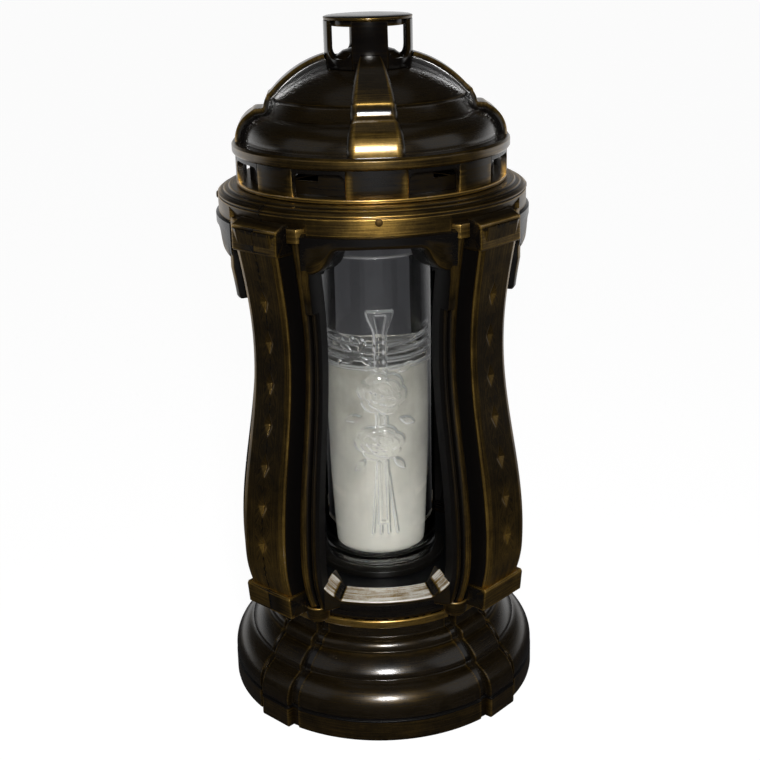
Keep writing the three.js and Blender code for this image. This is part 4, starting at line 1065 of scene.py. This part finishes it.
CHIMNEY_LID = [[0, 357.7], [17.3, 357.7], [17.3, 354.7], [19.1, 354.7], [19.1, 357.7], [21.9, 357.7],
               [22.0, 358.9], [20.8, 359.3], [16.0, 359.65], [10.0, 359.85], [0, 360.0]]
chimney_cap = turned_sheet(CHIMNEY_LID, base=0.14, gain=0.5)
build("chimney_lid", [chimney_cap], "lid", ["chimney_cap"], polished)

# %% [markdown]
# ## The pressed glass
# The tumbler is clear pressed glass with a raised ornament on its front: a plain Latin cross
# with a flared head, two open roses with stems below them, a few leaves, and a sash in soft
# folds. The ornament is a height over the glass, as a function of the place across and up,
# added to the radius of a turned surface.

# %% Glass
GLASS_R, GLASS_Z, GLASS_TOP, GLASS_WALL = 30.6, 72.3, 245.0, 2.4
SHAFT_X, SHAFT_Z = 0.9, 158
# Leaves as place, length, width and angle; buds as place; the sash's cords as height, slope
# and lift; the stems as lean and start; the petals' rings as reach, number, lift and turn.
LEAVES = ((-12, 193.5, 5.2, 2.2, 12), (-17.5, 197.5, 4.4, 1.9, 150), (-8.5, 198.5, 4.0, 1.8, 60),
          (-16, 190.2, 4.2, 1.7, 200), (-6.5, 190.5, 3.6, 1.6, -40), (14.5, 186.0, 5.0, 2.1, 25),
          (-14.5, 158.5, 5.2, 2.3, 200), (15, 156.5, 5.4, 2.3, -25), (10, 133.5, 5.2, 2.2, -50),
          (-11, 132.5, 5, 2.1, 230))
BUDS = ((-19.5, 201), (-13.5, 202), (-8.8, 201.3), (-6, 186.6), (-21.5, 189))
CORDS = ((198.6, 0.0125, 0.5), (194.6, 0.009, 0.42), (190.8, 0.0045, 0.36), (186.6, 0.0, 0.6))
STEMS = ((-0.115, -1.6), (-0.03, 0.2), (0.06, 1.8), (0.17, 3.2))
PETALS = ((1.0, 6, 0.50, 0.0), (0.76, 5, 0.40, 0.5), (0.53, 5, 0.36, 1.1), (0.31, 3, 0.32, 0.3))


def bump(distance, width):
    """1 on a line, falling to 0 at its width like a flattened cosine."""
    return 0.5 + 0.5 * np.cos(np.pi * np.clip(np.abs(distance) / width, 0, 1))


def plateau(distance, half, soft):
    """1 inside a band, 0 outside it, with soft sides."""
    return 1 - smooth(np.abs(distance), half - soft / 2, half + soft / 2)


def rose(x, z, cx, cz, size, tall, turn):
    """Rings of overlapping petals: each ring is a scalloped disc on top of the one below."""
    dx, dz = (x - cx) / size, (z - cz) / (size * tall)
    rho, theta = np.hypot(dx, dz), np.arctan2(dz, dx)
    height = 0.25 * bump(rho, 0.12)
    for reach, petals, lift, spin in PETALS:
        phase = petals * (theta + turn + spin) / 2
        border = reach * (0.84 + 0.16 * np.abs(np.cos(phase)) ** 0.6)
        cupped = 0.55 + 0.45 * np.clip(rho / border, 0, 1) ** 3 + 0.10 * np.cos(phase * 2 + 1.3)
        height += (1 - smooth(rho, border - 0.13, border + 0.03)) * lift * cupped
    return height


def leaf(x, z, cx, cz, length, width, angle):
    """A pointed oval with a raised middle vein."""
    c, s = np.cos(np.radians(angle)), np.sin(np.radians(angle))
    u, v = ((x - cx) * c + (z - cz) * s) / length, (-(x - cx) * s + (z - cz) * c) / width
    body = np.clip(1 - u ** 2, 0, 1) - np.abs(v)
    return 0.5 * smooth(body, 0, 0.35) + 0.2 * bump(v, 0.18) * (body > 0)


def ornament(x, z):
    """Height of the relief before it is scaled, with x across the front and z the height."""
    flare = 1 + 1.25 * smooth(z, 204, 217)
    off, up = x - SHAFT_X, z - SHAFT_Z
    height = 0.75 * plateau(off, 3.0 * flare, 0.9) * plateau(up, 59, 0.9)
    height -= 0.35 * plateau(off, 1.4 * flare, 0.8) * plateau(up, 57, 0.8)
    for foot, slope, lift in CORDS:
        line = foot + slope * np.abs(x - 3) ** 1.75 * np.where(x > 3, 1.0, 0.55)
        height += lift * bump(z - line, 1.25) * smooth(np.abs(x - 1), 2.2, 4.0) * (1 - smooth(np.abs(x), 31, 34))
    fold = 0.16 * np.sin((z - 190) * 1.15 + 0.05 * x) * plateau(z - 195 - 0.006 * x ** 2, 7, 3)
    height += fold * (1 - smooth(np.abs(x), 30, 33))
    for one in LEAVES:
        height = np.maximum(height, leaf(x, z, *one))
    for cx, cz in BUDS:
        height = np.maximum(height, 0.7 * np.sqrt(np.clip(1 - np.hypot(x - cx, z - cz) ** 2 / 1.3 ** 2, 0, 1)))
    for lean, start in STEMS:
        stem = start + lean * (134 - z) * 0.72
        height = np.maximum(height, 0.6 * bump(x - stem, 1.0) * plateau(z - 114, 21, 1.5))
    for flower in (rose(x, z, 1.6, 173.0, 13.6, 0.92, 0.2), rose(x, z, -0.4, 145.5, 14.0, 0.74, 0.9)):
        height = np.where(flower > 0.02, 0.15 * height + 1.35 * flower, height)
    return height


def glass():
    """Outer wall with the relief, rolled rim, inner wall, floor and raised bottom. The gild
    value says here where the relief catches light (below 0) and where it lies in shade."""
    bearing = np.concatenate([np.linspace(-64, 64, 150), np.linspace(64, 296, 62)[1:-1]])
    across = np.radians(np.where(bearing > 180, bearing - 360, bearing)) * GLASS_R
    heights = np.concatenate([np.linspace(GLASS_Z + 1.2, 92, 8), np.linspace(92.5, 221, 250),
                              np.linspace(222, GLASS_TOP - 1.2, 10)])
    x, z = np.meshgrid(across, heights)
    relief = 1.6 * ornament(x, z) * (np.abs(x) < 34.4)
    up_slope, across_slope = np.gradient(relief, axis=0) / 0.52, np.gradient(relief, axis=1) / 0.46
    inside = GLASS_R - GLASS_WALL
    rim = [(GLASS_R - 0.05, GLASS_TOP - 0.6), (GLASS_R - 0.35, GLASS_TOP - 0.2), (GLASS_R - 0.8, GLASS_TOP),
           (GLASS_R - 1.6, GLASS_TOP), (GLASS_R - 2.1, GLASS_TOP - 0.2), (inside + 0.05, GLASS_TOP - 0.6)]
    lining = [(inside, GLASS_TOP - 1.2), (inside, 160), (inside, 81),
              (GLASS_R - 3.1, 79), (GLASS_R - 4.4, 77.6), (GLASS_R - 6, 76.8), (0, 76.8)]
    below = [(0, 73.8), (22.6, 73.8), (23.2, 73.5), (23.8, 72.6),
             (24.4, GLASS_Z), (29.4, GLASS_Z), (30.2, 72.6), (30.55, 73.1)]
    turn = np.radians(bearing - 90)
    r, z_rest = np.array(rim + lining + below).T[..., None]
    points = np.concatenate([around(GLASS_R + relief, turn, z), around(r, turn, z_rest)])
    shade = np.zeros(points.shape[:2])
    # Flanks facing the lower left are whitened as a painted highlight, flanks facing the upper right are greyed as
    # painted shade, and raised tops are whitened a little as a painted highlight.
    shade[:len(heights)] = np.clip(-0.8 * (across_slope + 1.2 * up_slope), -1, 1) - 0.15 * smooth(relief, 0.5, 1.7)
    # The rim is whitened as a painted highlight.
    shade[len(heights):len(heights) + len(rim)] = -0.7
    return grid(points, shade, rows_closed=True, cols_closed=True)


# Soda-lime glass pressed in a mould: clear, with a faint ripple from the mould's skin. The
# relief's flanks are a little frosted, greyed as painted shade or whitened as a painted highlight,
# and lamps shine through the whole with a thin shadow.
clear, tree, shader = new_material("soda_lime_glass_pressed")
place = node(tree, "TexCoord").outputs["Object"]
waves = node(tree, "TexNoise", inputs={"Scale": per_metre(14), "Detail": 2.0}, links={"Vector": place})
ripple = node(tree, "Bump", inputs={"Strength": 0.2, "Distance": 0.15 * MM}, links={"Height": waves})
lit_or_shaded = node(tree, "Attribute", {"attribute_name": "gild"}).outputs["Fac"]
either = node(tree, "Math", {"operation": "ABSOLUTE"}, links={0: lit_or_shaded})
# Above 0 the glass is greyed as painted shade; below 0 it turns partly white as a painted highlight.
painted_shade_tint = node(tree, "Mix", COLOUR, {6: linear("fcfdfd"), 7: linear("9ea4a2")}, {0: lit_or_shaded}).outputs[RESULT]
frost = node(tree, "MapRange", inputs={"To Min": 0.015, "To Max": 0.22}, links={"Value": either})
painted_light_and_shade_sheer = node(tree, "MapRange", inputs={"To Min": 1.0, "To Max": 0.45}, links={"Value": either})
link(tree, shader, {"Normal": ripple, "Base Color": painted_shade_tint, "Roughness": frost, "Transmission Weight": painted_light_and_shade_sheer})
shader.inputs["IOR"].default_value = 1.5
shadow = node(tree, "Mix", COLOUR, {6: linear("f7f7f6"), 7: linear("3c3c3c")}, {0: lit_or_shaded}).outputs[RESULT]
lamps_pass = node(tree, "BsdfTransparent", links={"Color": shadow})
is_shadow = node(tree, "LightPath").outputs["Is Shadow Ray"]
through = node(tree, "MixShader", links={"Fac": is_shadow, 1: shader, 2: lamps_pass})
link(tree, next(n for n in tree.nodes if n.type == "OUTPUT_MATERIAL"), {"Surface": through})
build("tumbler", [glass()], "glass", ["glass_tumbler"], clear, crease=60)

# %% [markdown]
# ## The candle
# White paraffin wax is poured round a wick in a thin milky cup. The cup scatters light, so
# its edges glow softly, and the wax sinks a little towards the middle as it cools.

# %% Candle
# Polypropylene, blown thin: milky and satin, and greyer towards the top.
milky = plain("polypropylene_cup_milky", "d9d6cb", "86847c", 0.38, 0.06, size=24, scatter=0.003)
tree = milky.node_tree
blend = next(n for n in tree.nodes if n.type == "MIX")
cloud = blend.inputs["Factor"].links[0].from_socket
heights = node(tree, "SeparateXYZ", links={0: node(tree, "TexCoord").outputs["Object"]})
rise = node(tree, "MapRange", inputs={"From Min": 0.09, "From Max": 0.19, "To Min": -0.35, "To Max": 0.5},
            links={"Value": heights.outputs["Z"]})
fade = node(tree, "Math", {"operation": "ADD", "use_clamp": True}, links={0: cloud, 1: rise})
link(tree, blend, {"Factor": fade})
# Paraffin is a soft translucent white, darker here because it lies in the shade of the lid.
paraffin = plain("paraffin_wax", "403f3b", "4c4b46", 0.5, 0.1, size=3, bump=0.08, scatter=0.004)
# Cotton yarn is dry and fully matt.
cotton = plain("cotton_wick", "d8d2c2", "efeadf", 0.9, 0.08, size=0.4, bump=0.1)

CUP_R, CUP_Z, CUP_TOP, CUP_WALL, HEEL = 27.4, 77.1, 186.1, 0.8, 6
cup_outline = np.concatenate([
    [[0, CUP_Z]], arc(CUP_R - HEEL, CUP_Z + HEEL, HEEL, -90, 0, 8),
    [[CUP_R, CUP_TOP - 0.4], [CUP_R - 0.2, CUP_TOP], [CUP_R - 0.6, CUP_TOP], [CUP_R - CUP_WALL, CUP_TOP - 0.4]],
    arc(CUP_R - HEEL - CUP_WALL, CUP_Z + HEEL + CUP_WALL, HEEL, 0, -90, 8), [[0, CUP_Z + CUP_WALL]],
])
build("wax_cup", [turned_sheet(cup_outline, radius=0.1, steps=128)], "candle", ["candle_cup"], milky)
WAX_R, WAX_TOP = 26.3, 184.1
wax_outline = np.concatenate([
    [[1.6, 79.4], [9.4, 79.4], [9.4, 78.2]], arc(WAX_R - HEEL, 84.2, HEEL, -90, 0, 8),
    [[WAX_R, WAX_TOP + 0.2], [WAX_R - 0.3, WAX_TOP + 0.35], [WAX_R - 1.2, WAX_TOP - 0.1], [16, WAX_TOP - 0.5],
     [8, WAX_TOP - 1.1], [3.2, WAX_TOP - 1.5], [1.6, WAX_TOP - 1.1]],
])
wax = turned_sheet(wax_outline, radius=0.2, steps=128, closed=True)
build("wax", [wax], "candle", ["candle_wax"], paraffin)


def wick():
    """Three twisted strands: the radius swells three times round, and turns with height."""
    z = np.linspace(78.3, 192.1, 220)[:, None]
    angle = np.linspace(0, 2 * np.pi, 24, endpoint=False)
    r = 0.95 + 0.2 * np.abs(np.cos((3 * angle + z * 1.9) / 2))
    r[0], r[-1] = 0.0, 0.0
    r[-2] *= 0.8
    return grid(around(r, angle, z), cols_closed=True)


build("braided_wick", [wick()], "candle", ["wick"], cotton)

# %% [markdown]
# ## Parts that stay as the frame made them
# The hoop, the floor plate, the screw, its nut, the sustainer and the rivets are plain
# pressed or turned metal. They keep their CAD shape and get a zinc finish.

# %% Kept nodes
RIVETS = [f"shield_rivet_{place}" for place in ("front_right", "rear_right", "rear_left", "front_left")]
for name in ("collar_hoop", "floor_plate", "tie_screw", "tie_nut", "wick_sustainer", *RIVETS):
    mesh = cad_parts[name].data
    mesh.materials.clear()
    mesh.materials.append(dark_zinc if name == "floor_plate" else zinc)
print("kept nodes finished")

# %% [markdown]
# ## Stage, camera and light
# The lamp stands on a pale floor against white. The camera is where the photographer stood:
# 764 mm away, 20 degrees above, a little to the left, and rolled by a degree and a half. A
# small soft lamp beside the camera makes the bright spots on the rolls, and three large ones
# and a pale sky fill the rest. The floor and the sky are darker to rays that have met the
# glass or the lacquer, as the photographer's dark room was.

# %% Stage
bpy.context.scene.view_settings.view_transform = "Standard"
SMOOTHSTEP, WHITE, FLOOR_HALF = {"interpolation_type": "SMOOTHSTEP"}, (1, 1, 1, 1), 60.0
floor_mesh = bpy.data.meshes.new("floor")
corners = [(x * FLOOR_HALF, y * FLOOR_HALF, 0) for x, y in ((-1, -1), (1, -1), (1, 1), (-1, 1))]
floor_mesh.from_pydata(corners, [], [(0, 1, 2, 3)])
floor = bpy.data.objects.new("floor", floor_mesh)
bpy.context.scene.collection.objects.link(floor)

paper = bpy.data.materials.new("white_paper_sweep")
tree = emptied(paper)
seen = node(tree, "LightPath").outputs
in_mirror = node(tree, "Mix", COLOUR, {6: linear("d9d9d9"), 7: linear("3c3c3e")}, {0: seen["Is Glossy Ray"]})
dim = node(tree, "Mix", COLOUR, {7: linear("7e7e82")},
           {0: seen["Is Transmission Ray"], 6: in_mirror.outputs[RESULT]})
matt = node(tree, "BsdfDiffuse", links={"Color": dim.outputs[RESULT]})
glow = node(tree, "Emission", inputs={"Color": WHITE, "Strength": 1.25})
mixed = node(tree, "MixShader", inputs={"Fac": 0.25}, links={1: glow, 2: matt})
where = node(tree, "SeparateXYZ", links={0: node(tree, "TexCoord").outputs["Object"]})
beyond = node(tree, "MapRange", SMOOTHSTEP, {"From Min": 0.05, "From Max": 0.6, "To Min": 0.0, "To Max": 0.8},
              {"Value": where.outputs["Y"]})
bounced = node(tree, "Math", {"operation": "SUBTRACT", "use_clamp": True},
               links={0: seen["Is Glossy Ray"], 1: seen["Is Transmission Ray"]})
mirrored = node(tree, "Math", {"operation": "MULTIPLY"}, links={0: bounced, 1: beyond})
shown = node(tree, "Math", {"operation": "MAXIMUM"}, links={0: seen["Is Camera Ray"], 1: mirrored})
choice = node(tree, "MixShader", links={"Fac": shown, 1: matt, 2: mixed})
node(tree, "OutputMaterial", links={"Surface": choice})
floor_mesh.materials.append(paper)

world = bpy.data.worlds.new("white_room")
bpy.context.scene.world = world
tree = emptied(world)
seen = node(tree, "LightPath").outputs
parts = node(tree, "SeparateXYZ", links={0: node(tree, "TexCoord").outputs["Generated"]}).outputs
behind = node(tree, "MapRange", SMOOTHSTEP, {"From Min": 0.15, "From Max": 0.75, "To Min": 0.02, "To Max": 0.7},
              {"Value": parts["Y"]})
ceiling = node(tree, "MapRange", SMOOTHSTEP, {"From Min": 0.05, "From Max": 0.35, "To Min": 1.0, "To Max": 0.02},
               {"Value": parts["Z"]})
walls = node(tree, "Math", {"operation": "MULTIPLY"}, links={0: behind, 1: ceiling})
NUMBER = {"data_type": "FLOAT"}
mirror = node(tree, "Mix", NUMBER, {2: 0.16}, {0: seen["Is Glossy Ray"], 3: walls})
through = node(tree, "Mix", NUMBER, {3: 0.045}, {0: seen["Is Transmission Ray"], 2: mirror})
strength = node(tree, "Mix", NUMBER, {3: 1.0}, {0: seen["Is Camera Ray"], 2: through})
sky = node(tree, "Background", inputs={"Color": WHITE}, links={"Strength": strength})
node(tree, "OutputWorld", links={"Surface": sky})

# %% Camera
DISTANCE, EYE, PITCH, ROLL, YAW, TURN = 0.6499, 0.4016, 0.34313, -0.02496, 0.0025, -2.0
FOCAL_PX, PHOTO_PX, SENSOR = 1281.4, 760, 36.0


def set_at(name, data, axes, place):
    """An object in the scene whose own axes and place are given."""
    held = bpy.data.objects.new(name, data)
    rows = [[*(float(axis[k]) for axis in axes), float(place[k])] for k in range(3)]
    held.matrix_world = Matrix(rows + [[0, 0, 0, 1]])
    bpy.context.scene.collection.objects.link(held)
    return held


forward = np.array([np.sin(YAW) * np.cos(PITCH), np.cos(YAW) * np.cos(PITCH), -np.sin(PITCH)])
right = np.array([np.cos(YAW), -np.sin(YAW), 0.0])
up = np.cross(right, forward)
right, up = np.cos(ROLL) * right + np.sin(ROLL) * up, -np.sin(ROLL) * right + np.cos(ROLL) * up
about = np.radians(TURN)
turn = np.array([[np.cos(about), -np.sin(about), 0], [np.sin(about), np.cos(about), 0], [0, 0, 1]])
eye = turn @ np.array([0, -DISTANCE, EYE])
data = bpy.data.cameras.new("camera")
data.sensor_width = SENSOR
data.lens = FOCAL_PX / PHOTO_PX * SENSOR
bpy.context.scene.camera = set_at("camera", data, [turn @ axis for axis in (right, up, -forward)], eye)
print("camera at", [round(float(v), 3) for v in eye], "lens", round(data.lens, 2))

# %% Light
AIM = np.array([0, 0, 0.16])
for name, place, size, power in (
    ("flash", (0.0, -0.70, 0.475), 0.1, 3.9),
    ("left_fill", (-1.0, -0.5, 0.7), 0.9, 0.5),
    ("right_fill", (1.0, -0.5, 0.7), 0.9, 0.95),
    ("top", (0.0, 0.1, 1.4), 0.9, 0.22),
):
    lamp = bpy.data.lights.new(name, "AREA")
    lamp.shape, lamp.size, lamp.energy = "SQUARE", size, power
    back = place - AIM
    back /= np.linalg.norm(back)
    side = np.cross([0, 0, 1], back)
    side /= np.linalg.norm(side)
    set_at(name, lamp, (side, np.cross(back, side), back), place)
